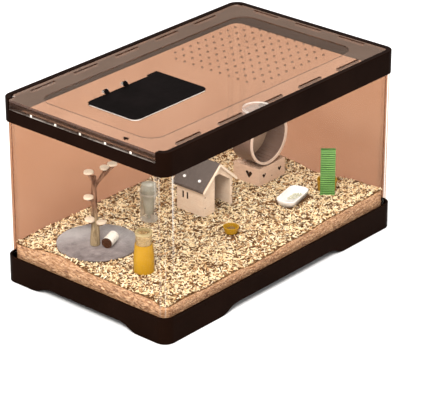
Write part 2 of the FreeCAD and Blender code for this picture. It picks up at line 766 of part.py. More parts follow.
def hatch_outline(grow):
    """The hatch's outline, larger all round by grow, with the tab at its right back corner."""
    tab_x = "hatch_x1 - hatch_tab_w - %s" % grow
    tab_y = "hatch_y1 + hatch_tab + %s" % grow
    back = "hatch_y1 + %s" % grow
    x0, x1 = "hatch_x0 - %s" % grow, "hatch_x1 + %s" % grow
    y0 = "hatch_y0 - %s" % grow
    return [(x0, y0), (x1, y0), (x1, tab_y), (tab_x, tab_y), (tab_x, back), (x0, back)]


def hatch_corner(grow):
    """A test for the upright edges at the outline's four main corners."""
    corners = [hatch_outline(grow)[i] for i in (0, 1, 5)]
    places = [(value(x), value(y)) for x, y in corners]

    def test(edge):
        box = edge.BoundBox
        return upright(edge) and any(abs(box.XMin - x) < 0.05 and abs(box.YMin - y) < 0.05 for x, y in places)

    return test


def lid_end_rail():
    """The clear rail that closes the cut in the frame's left end, with a groove and five lugs."""
    length = "2 * end_half - lid_gap - end_clear"
    low_x = "-cage_l / 2 + rail_inset"
    low_y = "-(end_half - lid_gap)"
    rail = block("rail_bar", ("rail_thick", length, "lid_z - rail_low"), (low_x, low_y, "rail_low"))
    groove = block(
        "rail_groove",
        ("2 * rail_groove", length + " + 2", "groove_tall"),
        (low_x + " - rail_groove", "-end_half - 1", "lid_z - groove_drop"),
    )
    pieces = [cut("rail_grooved", rail, groove)]
    for i in range(-2, 3):
        name = "rail_lug_%d" % (i + 2)
        low = (low_x + " - lug_proud", "%d * lug_step - lug_side / 2" % i, "rail_low + 1")
        pieces.append(block(name, ("2 * lug_proud", "lug_side", "lug_side"), low))
    return joined("lid_end_rail", pieces)


def lid_pivot_pins():
    pins = []
    inside = LID_END + " - pivot_deep"
    height = "lid_z + lid_thick / 2"
    for name, sign in (("lid_pin_right", 1), ("lid_pin_left", -1)):
        start = ("%d * (%s)" % (sign, inside), "pivot_y", height)
        pins.append(rod(name, "pivot_r", "pivot_long", start, (sign, 0, 0)))
    return group("lid_pivot_pins", pins)


def finger_grip():
    """A half round grip that stands up from the lid's front edge."""
    disc = rod("grip_disc", "grip_r", "grip_thick", ("grip_x", "-" + LID_FRONT, LID_TOP))
    web_top = LID_TOP + " + grip_web"
    hollow = rod("grip_hollow", "grip_r - grip_rim", "grip_thick", ("grip_x", "-" + LID_FRONT, web_top))
    rest = block(
        "grip_rest",
        ("4 * grip_r", "2 * grip_r", "2 * grip_thick + 2"),
        ("grip_x - 2 * grip_r", "-%s - 2 * grip_r" % LID_FRONT, LID_TOP + " - 1"),
    )
    return cut("finger_grip", cut("grip_shell", disc, hollow), rest)


def lid_catch():
    """A small snap catch on the lid's left margin, with two prongs."""
    stem_low = ("catch_x - catch_arm", "catch_y", LID_TOP)
    stem = block("catch_stem", ("2 * catch_arm", "catch_arm", "catch_thick"), stem_low)
    prong_low = ("catch_x", "catch_y - catch_arm", LID_TOP)
    prong = block("catch_prong", ("catch_arm", "catch_long", "catch_thick"), prong_low)
    return joined("lid_catch", [stem, prong])


# ---- the hatch ----


HATCH_TOP = "(%s + hatch_proud)" % SUNK_TOP
HINGE_PLACES = ("-172", "-126")


def hatch_door():
    """The black hatch with its two hinge arms, each ending in a bored knuckle."""
    body = new_body("hatch_door")
    outline = sketch_on(body, offset=HATCH_TOP + " - hatch_thick")
    draw_polygon(outline, hatch_outline("0"))
    pad(body, outline, "hatch_thick")
    fillet(body, "hatch_round", hatch_corner("0"))
    arm_foot = HATCH_TOP + " - 0.4"
    for x in HINGE_PLACES:
        arm = sketch_on(body, "YZ_Plane", "%s - knuckle_w / 2" % x)
        draw_polygon(
            arm,
            [
                ("hinge_y - knuckle_root", arm_foot),
                ("hinge_y - hinge_r", arm_foot),
                ("hinge_y", "hinge_z - hinge_r"),
                ("hinge_y", "hinge_z + hinge_r"),
                ("hinge_y - 2", "hinge_z + hinge_r"),
            ],
        )
        pad(body, arm, "knuckle_w")
        knuckle = sketch_on(body, "YZ_Plane", "%s - knuckle_w / 2" % x)
        draw_circle(knuckle, "hinge_y", "hinge_z", "hinge_r")
        pad(body, knuckle, "knuckle_w")
        bore = sketch_on(body, "YZ_Plane", "%s - knuckle_w / 2 - 1" % x)
        draw_circle(bore, "hinge_y", "hinge_z", "hinge_pin_r")
        pocket(body, bore, "knuckle_w + 2", backwards=True)
    return body


def hatch_hinge_ears():
    """Four clear ears on the lid, one each side of each knuckle."""
    ears = []
    for x in HINGE_PLACES:
        lows = ("%s - knuckle_w / 2 - ear_gap - ear_thick" % x, "%s + knuckle_w / 2 + ear_gap" % x)
        for low in lows:
            ears.append(hinge_ear("hinge_ear_%d" % len(ears), low))
    return group("hatch_hinge_ears", ears)


def hinge_ear(name, low_x):
    """One ear: a plate with a round head, bored for the pin."""
    size = ("ear_thick", "2 * hinge_r", "hinge_z - %s" % SUNK_TOP)
    plate = block(name + "_plate", size, (low_x, "hinge_y - hinge_r", SUNK_TOP))
    head = rod(name + "_head", "hinge_r", "ear_thick", (low_x, "hinge_y", "hinge_z"), (1, 0, 0))
    start = (low_x + " - 1", "hinge_y", "hinge_z")
    bore = rod(name + "_bore", "hinge_pin_r + ear_fit", "ear_thick + 2", start, (1, 0, 0))
    return cut(name, joined(name + "_solid", [plate, head]), bore)


def hatch_hinge_pins():
    pins = []
    reach = "(knuckle_w / 2 + ear_gap + ear_thick + 0.2)"
    for x in HINGE_PLACES:
        start = ("%s - %s" % (x, reach), "hinge_y", "hinge_z")
        pins.append(rod("hatch_pin_%d" % len(pins), "hinge_pin_r", "2 * " + reach, start, (1, 0, 0)))
    return group("hatch_hinge_pins", pins)


# ---- bedding, mat and tree ----


def bedding():
    body = new_body("bedding")
    outline = sketch_on(body, offset="floor_z + floor_thick")
    draw_centred(outline, "bed_half_l", "bed_half_w", "bed_round")
    pad(body, outline, "bed_top - floor_z - floor_thick")
    return body


def felt_mat():
    return rod("felt_mat", "mat_r", "mat_thick", ("mat_x", "mat_y", "bed_top"))


BRANCHES = (
    # start height on the trunk, bearing in degrees, reach, rise, radius
    (116, 140, 8, 14, 2.6),
    (104, -25, 20, 30, 2.4),
    (110, -62, 33, 38, 2.8),
    (84, 187, 15, 5, 2.2),
    (42, 191, 15, 6, 2.2),
    (36, -88, 15, 5, 2.2),
)


def tree_foot(lift="0"):
    return ("tree_x", "tree_y", "bed_top + mat_thick + %s" % lift)


def branch_end(branch):
    """The far end of a branch, from the foot of the trunk."""
    height, bearing, reach, rise, _ = branch
    angle = math.radians(bearing)
    return FreeCAD.Vector(reach * math.cos(angle), reach * math.sin(angle), height + rise)


def climbing_tree():
    """A tapering trunk, its branches and the short upright peg at each branch's end."""
    trunk = doc.addObject("Part::Cone", "tree_trunk")
    trunk.setExpression("Radius1", linked("tree_r"))
    trunk.setExpression("Radius2", linked("tree_r * 0.6"))
    trunk.setExpression("Height", linked("tree_tall"))
    place(trunk, *tree_foot())
    pieces = [trunk]
    for i, branch in enumerate(BRANCHES):
        radius = str(branch[4])
        end = branch_end(branch)
        reach = end - FreeCAD.Vector(0, 0, branch[0])
        limb = rod("tree_branch_%d" % i, radius, str(reach.Length), tree_foot(branch[0]), tuple(reach))
        x, y, z = tree_foot(end.z)
        peg = rod("tree_peg_%d" % i, radius, "step_peg", ("%s + %s" % (x, end.x), "%s + %s" % (y, end.y), z))
        pieces += [limb, peg]
    return joined("climbing_tree", pieces)


def tree_steps():
    steps = []
    for i, branch in enumerate(BRANCHES):
        end = branch_end(branch)
        x, y, z = tree_foot("%s + step_peg" % end.z)
        centre = ("%s + %s" % (x, end.x), "%s + %s" % (y, end.y), z)
        steps.append(rod("tree_step_%d" % i, "step_r", "step_thick", centre))
    return group("tree_steps", steps)


# ---- the house ----


def gable(name, low_y, with_door):
    """A pointed end wall; the front one has the doorway."""
    body = new_body(name)
    middle = "house_l / 2"
    face = sketch_on(body, "XZ_Plane")
    corners = [
        ("0", "0"),
        ("house_l", "0"),
        ("house_l", "house_eave"),
        (middle, "house_peak"),
        ("0", "house_eave"),
    ]
    draw_polygon(face, corners)
    pad(body, face, "ply", backwards=True)
    if with_door:
        cut_doorway(body, middle)
    place(body, "house_x", low_y, "bed_top")
    return body


def cut_doorway(body, middle):
    """A tall doorway beside the middle, pointed like the gable."""
    door = sketch_on(body, "XZ_Plane")
    right = "house_l - ply - door_jamb"
    left = "house_l * 0.38"
    corners = [
        (left, "-1"),
        (right, "-1"),
        (right, "house_eave - 4"),
        (middle + " + 3", "house_peak - door_drop"),
        (left, "house_peak - door_drop - 1"),
    ]
    draw_polygon(door, corners)
    pocket(body, door, "ply")


def house_side(name, low_x, with_slits):
    body = new_body(name)
    face = sketch_on(body, "YZ_Plane")
    draw_rectangle(face, "ply", "0", "house_w - ply", "house_eave - 1")
    pad(body, face, "ply")
    if with_slits:
        slits = sketch_on(body, "YZ_Plane")
        top = "house_eave - slit_drop"
        for middle in ("house_w * 0.61", "house_w * 0.77"):
            low_y, high_y = middle + " - slit_w / 2", middle + " + slit_w / 2"
            draw_rectangle(slits, low_y, top + " - slit_tall", high_y, top)
        pocket(body, slits, "ply", backwards=True)
    place(body, low_x, "house_y", "bed_top")
    return body


ROOF_UP = "(roof_thick * 1.38)"


def roof_board(name, side):
    """One slope of the roof, from the ridge down past the eave."""
    body = new_body(name)
    section = sketch_on(body, "XZ_Plane")
    slope = "((house_peak - house_eave) / (house_l / 2))"
    low = []
    for reach in ("ridge_half", "(house_l / 2 + roof_eave)"):
        low.append(("%d * %s" % (side, reach), "-%s * %s + roof_lift" % (slope, reach)))
    high = [(x, "%s + %s" % (z, ROOF_UP)) for x, z in reversed(low)]
    draw_polygon(section, low + high)
    pad(body, section, "house_w + 2 * roof_over", backwards=True)
    place(body, "house_x + house_l / 2", "house_y - roof_over", "bed_top + house_peak")
    return body


def roof_pins():
    """Round screw caps on the slopes, two to each board."""
    pins = []
    run = value("house_l / 2")
    rise = value("house_peak - house_eave")
    reach = 0.86 * run
    lift = value(ROOF_UP + " + roof_lift") - reach * rise / run
    for side in (-1, 1):
        across = FreeCAD.Vector(side * rise, 0, run).normalize()
        for along in (0.22, 0.78):
            x = "house_x + house_l / 2 + %s" % (side * reach)
            y = "house_y + house_w * %s" % along
            z = "bed_top + house_peak + %s" % lift
            name = "roof_pin_%d" % len(pins)
            pins.append(rod(name, "roof_pin_r", "roof_pin_tall", (x, y, z), tuple(across)))
    return group("roof_pins", pins)


# ---- the wheel ----


def draw_heart(sketch, across, up_from, width):
    """A heart: two half circles over a point, its widest at the given place."""
    x, z, r = value(across), value(up_from), value(width) / 4
    left = FreeCAD.Vector(x - 2 * r, z, 0)
    middle = FreeCAD.Vector(x, z, 0)
    right = FreeCAD.Vector(x + 2 * r, z, 0)
    tip = FreeCAD.Vector(x, z - 2.6 * r, 0)
    up = FreeCAD.Vector(0, r, 0)
    half = FreeCAD.Vector(r, 0, 0)
    sketch.addGeometry(Part.Arc(left, left + half + up, middle))
    sketch.addGeometry(Part.Arc(middle, middle + half + up, right))
    sketch.addGeometry(Part.LineSegment(right, tip))
    sketch.addGeometry(Part.LineSegment(tip, left))


def wheel_stand():
    """A box open below, with hearts cut through its front and left faces."""
    body = new_body("wheel_stand")
    outline = sketch_on(body)
    draw_rectangle(outline, "0", "0", "stand_l", "stand_w")
    pad(body, outline, "stand_tall")
    hollow = sketch_on(body)
    draw_rectangle(hollow, "ply", "ply", "stand_l - ply", "stand_w - ply")
    pocket(body, hollow, "stand_tall - ply", backwards=True)
    front = sketch_on(body, "XZ_Plane")
    draw_heart(front, "stand_l * 0.2", "stand_tall * 0.55", "heart_front")
    draw_heart(front, "stand_l * 0.8", "stand_tall * 0.55", "heart_front")
    draw_circle(front, "stand_l / 2", "stand_tall * 0.3", "1.5")
    pocket(body, front, "ply")
    side = sketch_on(body, "YZ_Plane")
    draw_heart(side, "stand_w * 0.4", "stand_tall * 0.6", "heart_side")
    pocket(body, side, "ply", backwards=True)
    place(body, "stand_x", "0", "bed_top")
    return body


def wheel_upright():
    """The post behind the wheel that carries the axle."""
    body = new_body("wheel_upright")
    face = sketch_on(body, "XZ_Plane")
    axle_up = "wheel_z - bed_top - stand_tall"
    top = axle_up + " + upright_over"
    corners = [("-upright_foot", "0"), ("upright_foot", "0"), ("upright_head", top), ("-upright_head", top)]
    draw_polygon(face, corners)
    pad(body, face, "upright_thick", backwards=True)
    bore = sketch_on(body, "XZ_Plane")
    draw_circle(bore, "0", axle_up, "axle_r")
    pocket(body, bore, "upright_thick")
    place(body, "wheel_x", "wheel_wide + upright_gap", "bed_top + stand_tall")
    return body


def wheel_drum():
    """An open drum with a flat back, a rolled front rim, a hub and ribs inside."""
    body = new_body("wheel_drum")
    section = sketch_on(body)
    bore = "axle_r + axle_fit"
    inner = "wheel_r - wheel_wall"
    back_in = "wheel_wide - wheel_wall"
    draw_polygon(
        section,
        [
            (bore, "wheel_wide"),
            ("wheel_r", "wheel_wide"),
            ("wheel_r", "0"),
            ("wheel_r - wheel_lip", "0"),
            ("wheel_r - wheel_lip", "2.4"),
            (inner, "4"),
            (inner, back_in),
            ("hub_r", back_in),
            ("hub_r", "wheel_wide - hub_long"),
            (bore, "wheel_wide - hub_long"),
        ],
    )
    revolve(body, section)
    rib = sketch_on(body, "XZ_Plane", "-4.5")
    draw_rectangle(rib, inner + " - tread_tall", "-tread_w / 2", inner + " + 0.6", "tread_w / 2")
    pad(body, rib, back_in + " - 5", backwards=True)
    pattern = body.newObject("PartDesign::PolarPattern", "wheel_ribs")
    pattern.Originals = [body.Tip]
    pattern.Axis = (section, ["V_Axis"])
    pattern.Angle = 360
    pattern.setExpression("Occurrences", linked("tread_count"))
    body.Tip = pattern
    doc.recompute()
    place(body, "wheel_x", "0", "wheel_z")
    return body


AXLE_START = ("wheel_x", "wheel_wide - axle_in", "wheel_z")
ALONG_Y = (0, 1, 0)


def wheel_axle():
    return rod("wheel_axle", "axle_r", "axle_long", AXLE_START, ALONG_Y)


def wheel_end_cap():
    cap = rod("end_cap_disc", "cap_r", "cap_thick", AXLE_START, ALONG_Y)
    bore = rod("end_cap_bore", "axle_r", "cap_thick + 1", AXLE_START, ALONG_Y)
    return cut("wheel_end_cap", cap, bore)


def wheel_spacer():
    """A collar on the axle between the wheel and its upright."""
    start = ("wheel_x", "wheel_wide + collar_gap", "wheel_z")
    length = "upright_gap - collar_gap"
    collar = rod("spacer_collar", "collar_r", length, start, ALONG_Y)
    bore = rod("spacer_bore", "axle_r", length + " + 1", start, ALONG_Y)
    return cut("wheel_spacer", collar, bore)


def axle_nut():
    """A hexagon nut behind the upright."""
    body = new_body("axle_nut")
    face = sketch_on(body, "XZ_Plane")
    corners = [("nut_r * cos(%d)" % turn, "nut_r * sin(%d)" % turn) for turn in range(0, 360, 60)]
    draw_polygon(face, corners)
    pad(body, face, "nut_thick", backwards=True)
    bore = sketch_on(body, "XZ_Plane")
    draw_circle(bore, "0", "0", "axle_r")
    pocket(body, bore, "nut_thick")
    place(body, "wheel_x", "wheel_wide + upright_gap + upright_thick", "wheel_z")
    return body


# ---- dishes, pot and ladder ----


def food_dish():
    """A shallow oblong dish with sloping sides."""
    body = new_body("food_dish")
    outline = sketch_on(body)
    draw_centred(outline, "dish_l / 2", "dish_w / 2", "dish_round")
    pad(body, outline, "dish_tall")
    well = sketch_on(body, offset="dish_tall")
    draw_centred(well, "dish_l / 2 - dish_rim", "dish_w / 2 - dish_rim", "dish_round - dish_rim")
    pocket(body, well, "dish_tall - dish_rim")
    place(body, "dish_x", "dish_y", "bed_top", "dish_turn")
    return body


def round_vessel(name, profile):
    """A vessel turned about its upright axis."""
    body = new_body(name)
    section = sketch_on(body, "XZ_Plane")
    draw_polygon(section, profile)
    revolve(body, section)
    return body


def treat_pot():
    body = round_vessel(
        "treat_pot",
        [
            ("0", "0"),
            ("pot_r", "0"),
            ("pot_r", "pot_tall * 0.5"),
            ("sleeve_r + 1", "pot_tall"),
            ("sleeve_r - 2", "pot_tall"),
            ("pot_r - pot_wall", "pot_tall * 0.5"),
            ("pot_r - pot_wall", "3"),
            ("0", "3"),
        ],
    )
    place(body, "pot_x", "pot_y", "bed_top")
    return body


def pot_sleeve():
    body = round_vessel(
        "pot_sleeve",
        [
            ("sleeve_r - sleeve_wall", "0"),
            ("sleeve_r", "0"),
            ("sleeve_r", "sleeve_tall"),
            ("sleeve_r - sleeve_wall", "sleeve_tall"),
        ],
    )
    place(body, "pot_x", "pot_y", "bed_top + pot_tall")
    return body


def pot_ring():
    body = round_vessel(
        "pot_ring",
        [
            ("sleeve_r - 3", "0"),
            ("sleeve_r + 0.6", "0"),
            ("sleeve_r + 0.6", "ring_tall"),
            ("sleeve_r - 3", "ring_tall"),
        ],
    )
    place(body, "pot_x", "pot_y", "bed_top + pot_tall + sleeve_tall")
    return body


def tub(name, radius, flare, tall):
    """An open tub that widens towards its rim."""
    return round_vessel(
        name,
        [
            ("0", "0"),
            ("%s - %s" % (radius, flare), "0"),
            (radius, tall),
            (radius + " - tub_wall", tall),
            ("%s - %s - tub_wall" % (radius, flare), "tub_wall"),
            ("0", "tub_wall"),
        ],
    )


def small_tub():
    body = tub("small_tub", "tub_r", "tub_flare", "tub_tall")
    place(body, "tub_x", "tub_y", "bed_top")
    return body


def large_tub():
    body = tub("large_tub", "hoop_r", "hoop_flare", "hoop_tall")
    place(body, "hoop_x", "hoop_y", "bed_top")
    return body


def water_bottle():
    """A tapering bottle that stands nozzle down, clear of its stand's foot."""
    body = round_vessel(
        "water_bottle",
        [
            ("0", "0"),
            ("nozzle_r", "0"),
            ("nozzle_r", "nozzle_long"),
            ("bottle_neck", "nozzle_long + 1.5"),
            ("bottle_r", "nozzle_long + bottle_tall * 0.8"),
            ("bottle_r * 0.86", "nozzle_long + bottle_tall * 0.95"),
            ("bottle_r * 0.4", "nozzle_long + bottle_tall"),
            ("0", "nozzle_long + bottle_tall"),
        ],
    )
    place(body, "bottle_x", "bottle_y", "bed_top + bottle_foot + 1")
    return body


def bottle_stand():
    """A round foot, a strap up behind the bottle and a ring that the bottle hangs in."""
    foot = rod("stand_foot", "bottle_foot_r", "bottle_foot", ("bottle_x", "bottle_y", "bed_top"))
    shoulder = "bottle_foot + nozzle_long"
    strap = block(
        "stand_strap",
        ("strap_w", "strap_thick", shoulder + " + bottle_tall * 0.72"),
        ("bottle_x - strap_w / 2", "bottle_y + bottle_r + ring_gap", "bed_top"),
    )
    ring_z = "bed_top + %s + bottle_tall * 0.64" % shoulder
    ring = rod("stand_ring", "bottle_r + strap_thick", "ring_height", ("bottle_x", "bottle_y", ring_z))
    inside = ("bottle_x", "bottle_y", ring_z + " - 1")
    hole = rod("stand_hole", "bottle_r + ring_gap", "ring_height + 2", inside)
    return joined("bottle_stand", [foot, strap, cut("stand_hoop", ring, hole)])


def gnaw_log():
    """A short log that lies on the mat."""
    start = ("log_x", "log_y", "bed_top + mat_thick + log_r")
    return rod("gnaw_log", "log_r", "log_long", start, (32, 12, 0))


def chew_ladder():
    """An upright board with close ribs across its face."""
    body = new_body("chew_ladder")
    face = sketch_on(body, "XZ_Plane")
    draw_rectangle(face, "-ladder_w / 2", "0", "ladder_w / 2", "ladder_tall")
    pad(body, face, "ladder_thick", both_ways=True)
    groove = sketch_on(body, "YZ_Plane")
    face_y = "-ladder_thick / 2"
    draw_rectangle(groove, face_y + " - 1", "3", face_y + " + rung_deep", "3 + rung_step * 0.4")
    pocket(body, groove, "ladder_w + 2", both_ways=True)
    rungs = int(value("(ladder_tall - 6) / rung_step"))
    pattern = body.newObject("PartDesign::LinearPattern", "ladder_grooves")
    pattern.Originals = [body.Tip]
    pattern.Direction = (groove, ["V_Axis"])
    pattern.Length = value("rung_step") * (rungs - 1)
    pattern.Occurrences = rungs
    body.Tip = pattern
    doc.recompute()
    place(body, "ladder_x", "ladder_y", "bed_top", "ladder_turn")
    return body


def build_all():
    nodes = [base_tray(), foot_pads(), bedding(), felt_mat(), climbing_tree(), tree_steps()]
    for x_sign, side in ((-1, "left"), (1, "right")):
        for y_sign, end in ((-1, "front"), (1, "back")):
            nodes.append(corner_post("corner_post_%s_%s" % (end, side), x_sign, y_sign))
    nodes += [long_panel("panel_front", -1), long_panel("panel_back", 1)]
    nodes += [short_panel("panel_left", -1), short_panel("panel_right", 1)]
    nodes += [top_frame(), lid_panel(), lid_end_rail(), lid_pivot_pins(), finger_grip(), lid_catch()]
    nodes += [hatch_door(), hatch_hinge_ears(), hatch_hinge_pins()]
    nodes += [gable("house_front", "house_y", True), gable("house_back", "house_y + house_w - ply", False)]
    nodes += [house_side("house_side_left", "house_x", True)]
    nodes += [house_side("house_side_right", "house_x + house_l - ply", False)]
    nodes += [roof_board("roof_left", -1), roof_board("roof_right", 1), roof_pins()]
    nodes += [wheel_stand(), wheel_upright(), wheel_drum(), wheel_axle(), wheel_end_cap()]
    nodes += [wheel_spacer(), axle_nut()]
    nodes += [food_dish(), treat_pot(), pot_sleeve(), pot_ring(), small_tub(), large_tub()]
    nodes += [water_bottle(), bottle_stand(), gnaw_log(), chew_ladder()]
    doc.recompute()
    return nodes


def check(nodes):
    """Stop before anything is written if any object or shape is unsound."""
    for item in doc.Objects:
        if "Invalid" in item.State or "Error" in item.State:
            raise RuntimeError("%s is %s" % (item.Name, item.State))
    for node in nodes:
        if node.Shape.isNull() or not node.Shape.isValid():
            raise RuntimeError(node.Label + " has no valid shape")


def write(nodes):
    os.makedirs("parts", exist_ok=True)
    for node in nodes:
        node.Shape.exportStep("parts/%s.step" % node.Label)


fill_sheet()
NODES = build_all()
check(NODES)
write(NODES)
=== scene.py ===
"""A hamster cage: tinted and clear panels, a hazy vented lid, black mouldings, wood shavings, a felt mat
with a branch tree, and plywood and plastic furnishings.
"""
import math
import random

import bmesh
import bpy
from mathutils import Matrix, Vector, noise


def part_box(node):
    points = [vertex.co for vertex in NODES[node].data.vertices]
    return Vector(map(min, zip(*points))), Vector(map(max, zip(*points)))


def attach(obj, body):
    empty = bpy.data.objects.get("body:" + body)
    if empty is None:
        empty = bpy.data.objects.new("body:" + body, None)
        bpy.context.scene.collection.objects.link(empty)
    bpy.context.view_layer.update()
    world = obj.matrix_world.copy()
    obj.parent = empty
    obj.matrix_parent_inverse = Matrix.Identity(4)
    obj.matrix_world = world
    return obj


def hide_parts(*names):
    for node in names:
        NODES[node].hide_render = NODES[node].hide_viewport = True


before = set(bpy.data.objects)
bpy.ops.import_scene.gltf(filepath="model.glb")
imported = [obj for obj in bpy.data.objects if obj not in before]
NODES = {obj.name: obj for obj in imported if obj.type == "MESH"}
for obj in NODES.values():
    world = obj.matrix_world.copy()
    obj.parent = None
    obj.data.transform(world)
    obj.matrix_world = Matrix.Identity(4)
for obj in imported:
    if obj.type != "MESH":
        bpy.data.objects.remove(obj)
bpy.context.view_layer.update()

MM = 0.001

# noise_vector would otherwise start from the clock, and the tree would differ from run to run
noise.seed_set(7)


def node_box(name):
    low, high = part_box(name)
    return Vector(low), Vector(high)


BED_LOW, BED_HIGH = node_box("bedding")
BED_TOP = BED_HIGH.z
BED_CORNER = 13 * MM
MAT_LOW, MAT_HIGH = node_box("felt_mat")
MAT_MIDDLE = (MAT_LOW + MAT_HIGH) / 2
MAT_RADIUS = (MAT_HIGH.x - MAT_LOW.x) / 2

# the lid: the sunk centre's top, the heights over which its upper side and its margin are told apart,
# the vents' field, and how strongly the painted shade on cut edges and hole walls shows, with how much less
# of it in that field
SUNK_TOP = 337.4 * MM
LID_UPPER, LID_MARGIN = 337.2 * MM, 338.1 * MM
VENTS_LEFT, VENTS_RIGHT, VENTS_HALF = 12 * MM, 230 * MM, 108 * MM
EDGE_SHADE, EDGE_SHADE_VENTS = 0.92, 0.40

# the lid's end rail: the top of its lower edge, which carries a painted highlight, its groove, which
# carries a painted shadow line, and the plane that its lugs pass, the lugs carrying painted highlights
RAIL_EDGE, GROOVE_LOW, GROOVE_HIGH = 321.7 * MM, 329.0 * MM, 332.4 * MM
LUG_FACE = -299.7 * MM

# the corner strips: outer round, wall and arm; the round's middle; where the tint starts and its lean
POST_ROUND, POST_THICK, POST_ARM = 18 * MM, 6 * MM, 24 * MM
POST_CENTRE_X, POST_CENTRE_Y = 280 * MM, 163 * MM
POST_TINT_X, POST_TINT_Y = 286 * MM, 169 * MM
POST_LEAN_X, POST_LEAN_Y = 0.83, 0.68
POST_STEPS = 10

# the other finishes' own places: the ladder's ribs, the wheel's open rim, the log's direction
RIB_START, RIB_STEP, GROOVE_SHARE = BED_TOP + 3 * MM, 4.2 * MM, 0.4
WHEEL_RIM_Y = 2.6 * MM
LOG_ALONG = Vector((32, 12, 0))


# ---- material building ----


class Finish:
    """One material's node tree, with short calls for the nodes that the finishes share."""

    def __init__(self, name):
        self.material = bpy.data.materials.new(name)
        self.material.use_nodes = True
        self.tree = self.material.node_tree
        self.tree.nodes.clear()
        self.place = self.add("ShaderNodeTexCoord").outputs["Object"]

    def add(self, kind, sockets=None, **settings):
        """A node with its settings; each socket takes a plain value or another node's output."""
        node = self.tree.nodes.new(kind)
        for key, value in settings.items():
            setattr(node, key, value)
        for key, value in (sockets or {}).items():
            self.feed(node.inputs[key], value)
        return node

    def feed(self, socket, value):
        if isinstance(value, bpy.types.NodeSocket):
            self.tree.links.new(value, socket)
        else:
            socket.default_value = value

    def stretched(self, scale, turn=(0, 0, 0)):
        """The object's own coordinates, scaled along each axis."""
        sockets = {"Vector": self.place, "Scale": scale, "Rotation": turn}
        return self.add("ShaderNodeMapping", sockets).outputs[0]

    def noise(self, scale, detail=4.0, rough=0.55, vector=None, bend=0.0):
        sockets = {"Vector": vector or self.place, "Scale": scale, "Detail": detail}
        sockets.update({"Roughness": rough, "Distortion": bend})
        return self.add("ShaderNodeTexNoise", sockets).outputs["Fac"]

    def math(self, operation, first, second=0.0):
        return self.add("ShaderNodeMath", {0: first, 1: second}, operation=operation).outputs[0]

    def times(self, first, second):
        return self.math("MULTIPLY", first, second)

    def minus(self, first, second):
        return self.math("SUBTRACT", first, second)

    def above(self, value, limit):
        """1 where a value is over a limit, and 0 elsewhere."""
        return self.math("GREATER_THAN", value, limit)

    def below(self, value, limit):
        return self.math("LESS_THAN", value, limit)

    def ramp(self, factor, *stops):
        """Colours (or greys) placed along a factor."""
        node = self.add("ShaderNodeValToRGB", {"Fac": factor})
        keys = node.color_ramp.elements
        while len(keys) < len(stops):
            keys.new(0.5)
        for key, (where, colour) in zip(keys, stops):
            key.position = where
            key.color = (*colour, 1) if isinstance(colour, tuple) else (colour, colour, colour, 1)
        return node.outputs["Color"]

    def blend(self, factor, first, second, kind="MIX"):
        node = self.add("ShaderNodeMix", data_type="RGBA", blend_type=kind)
        for index, value in ((0, factor), (6, first), (7, second)):
            if isinstance(value, tuple):
                value = (*value, 1)
            self.feed(node.inputs[index], value)
        return node.outputs[2]

    def bump(self, height, strength, distance, normal=None):
        sockets = {"Height": height, "Strength": strength, "Distance": distance}
        if normal is not None:
            sockets["Normal"] = normal
        return self.add("ShaderNodeBump", sockets).outputs["Normal"]

    def axis(self, name, vector=None):
        return self.add("ShaderNodeSeparateXYZ", {"Vector": vector or self.place}).outputs[name]

    def own_normal(self):
        """The face's direction in the piece's own axes, so that it stays right when the piece swings."""
        outward = self.add("ShaderNodeNewGeometry").outputs["True Normal"]
        turned = self.add(
            "ShaderNodeVectorTransform", {"Vector": outward},
            vector_type="NORMAL", convert_from="WORLD", convert_to="OBJECT",
        )
        return turned.outputs["Vector"]

    def facing(self, name):
        """How squarely a face looks along one of the piece's axes, 0 to 1."""
        return self.math("ABSOLUTE", self.axis(name, self.own_normal()))

    def outer_fresnel(self):
        """Mirror share of a clear sheet, only where a ray meets it from outside."""
        inside = self.add("ShaderNodeNewGeometry").outputs["Backfacing"]
        mirror = self.add("ShaderNodeFresnel", {"IOR": 1.45}).outputs[0]
        return self.times(mirror, self.minus(1.0, inside))

    def principled(self, sockets):
        return self.add("ShaderNodeBsdfPrincipled", sockets).outputs["BSDF"]

    def clear(self, colour):
        return self.add("ShaderNodeBsdfTransparent", {"Color": colour}).outputs[0]

    def mirror(self, rough):
        return self.add("ShaderNodeBsdfGlossy", {"Roughness": rough}).outputs[0]

    def mixed(self, factor, first, second):
        return self.add("ShaderNodeMixShader", {0: factor, 1: first, 2: second}).outputs[0]

    def finish(self, shader):
        output = self.add("ShaderNodeOutputMaterial")
        self.tree.links.new(shader, output.inputs["Surface"])
        return self.material

    def opaque(self, colour, rough, relief=None, specular=0.5):
        """The finished material as one solid surface."""
        sockets = {"Base Color": colour, "Roughness": rough, "Specular IOR Level": specular}
        if relief is not None:
            sockets["Normal"] = relief
        return self.finish(self.principled(sockets))


def black_moulding():
    """Black brown glossy plastic with a faint moulded grain and soft edges."""
    f = Finish("black_moulding")
    colour = f.ramp(f.noise(14, 3), (0.3, (0.0060, 0.0022, 0.0011)), (0.7, (0.0086, 0.0034, 0.0019)))
    rough = f.ramp(f.noise(60, 5), (0.3, 0.26), (0.75, 0.38))
    rounded = f.add("ShaderNodeBevel", {"Radius": 1.2 * MM}, samples=4).outputs[0]
    grain = f.bump(f.noise(1500, 2), 0.12, 0.2 * MM, rounded)
    return f.opaque(colour, rough, grain, specular=0.006)


def hatch_black():
    """Darker, duller black for the hatch."""
    f = Finish("hatch_black")
    colour = f.ramp(f.noise(25, 3), (0.3, (0.0026, 0.0018, 0.0016)), (0.7, (0.0044, 0.0030, 0.0028)))
    rough = f.ramp(f.noise(80, 4), (0.3, 0.30), (0.7, 0.42))
    grain = f.bump(f.noise(1800, 2), 0.1, 0.2 * MM)
    return f.opaque(colour, rough, grain, specular=0.004)


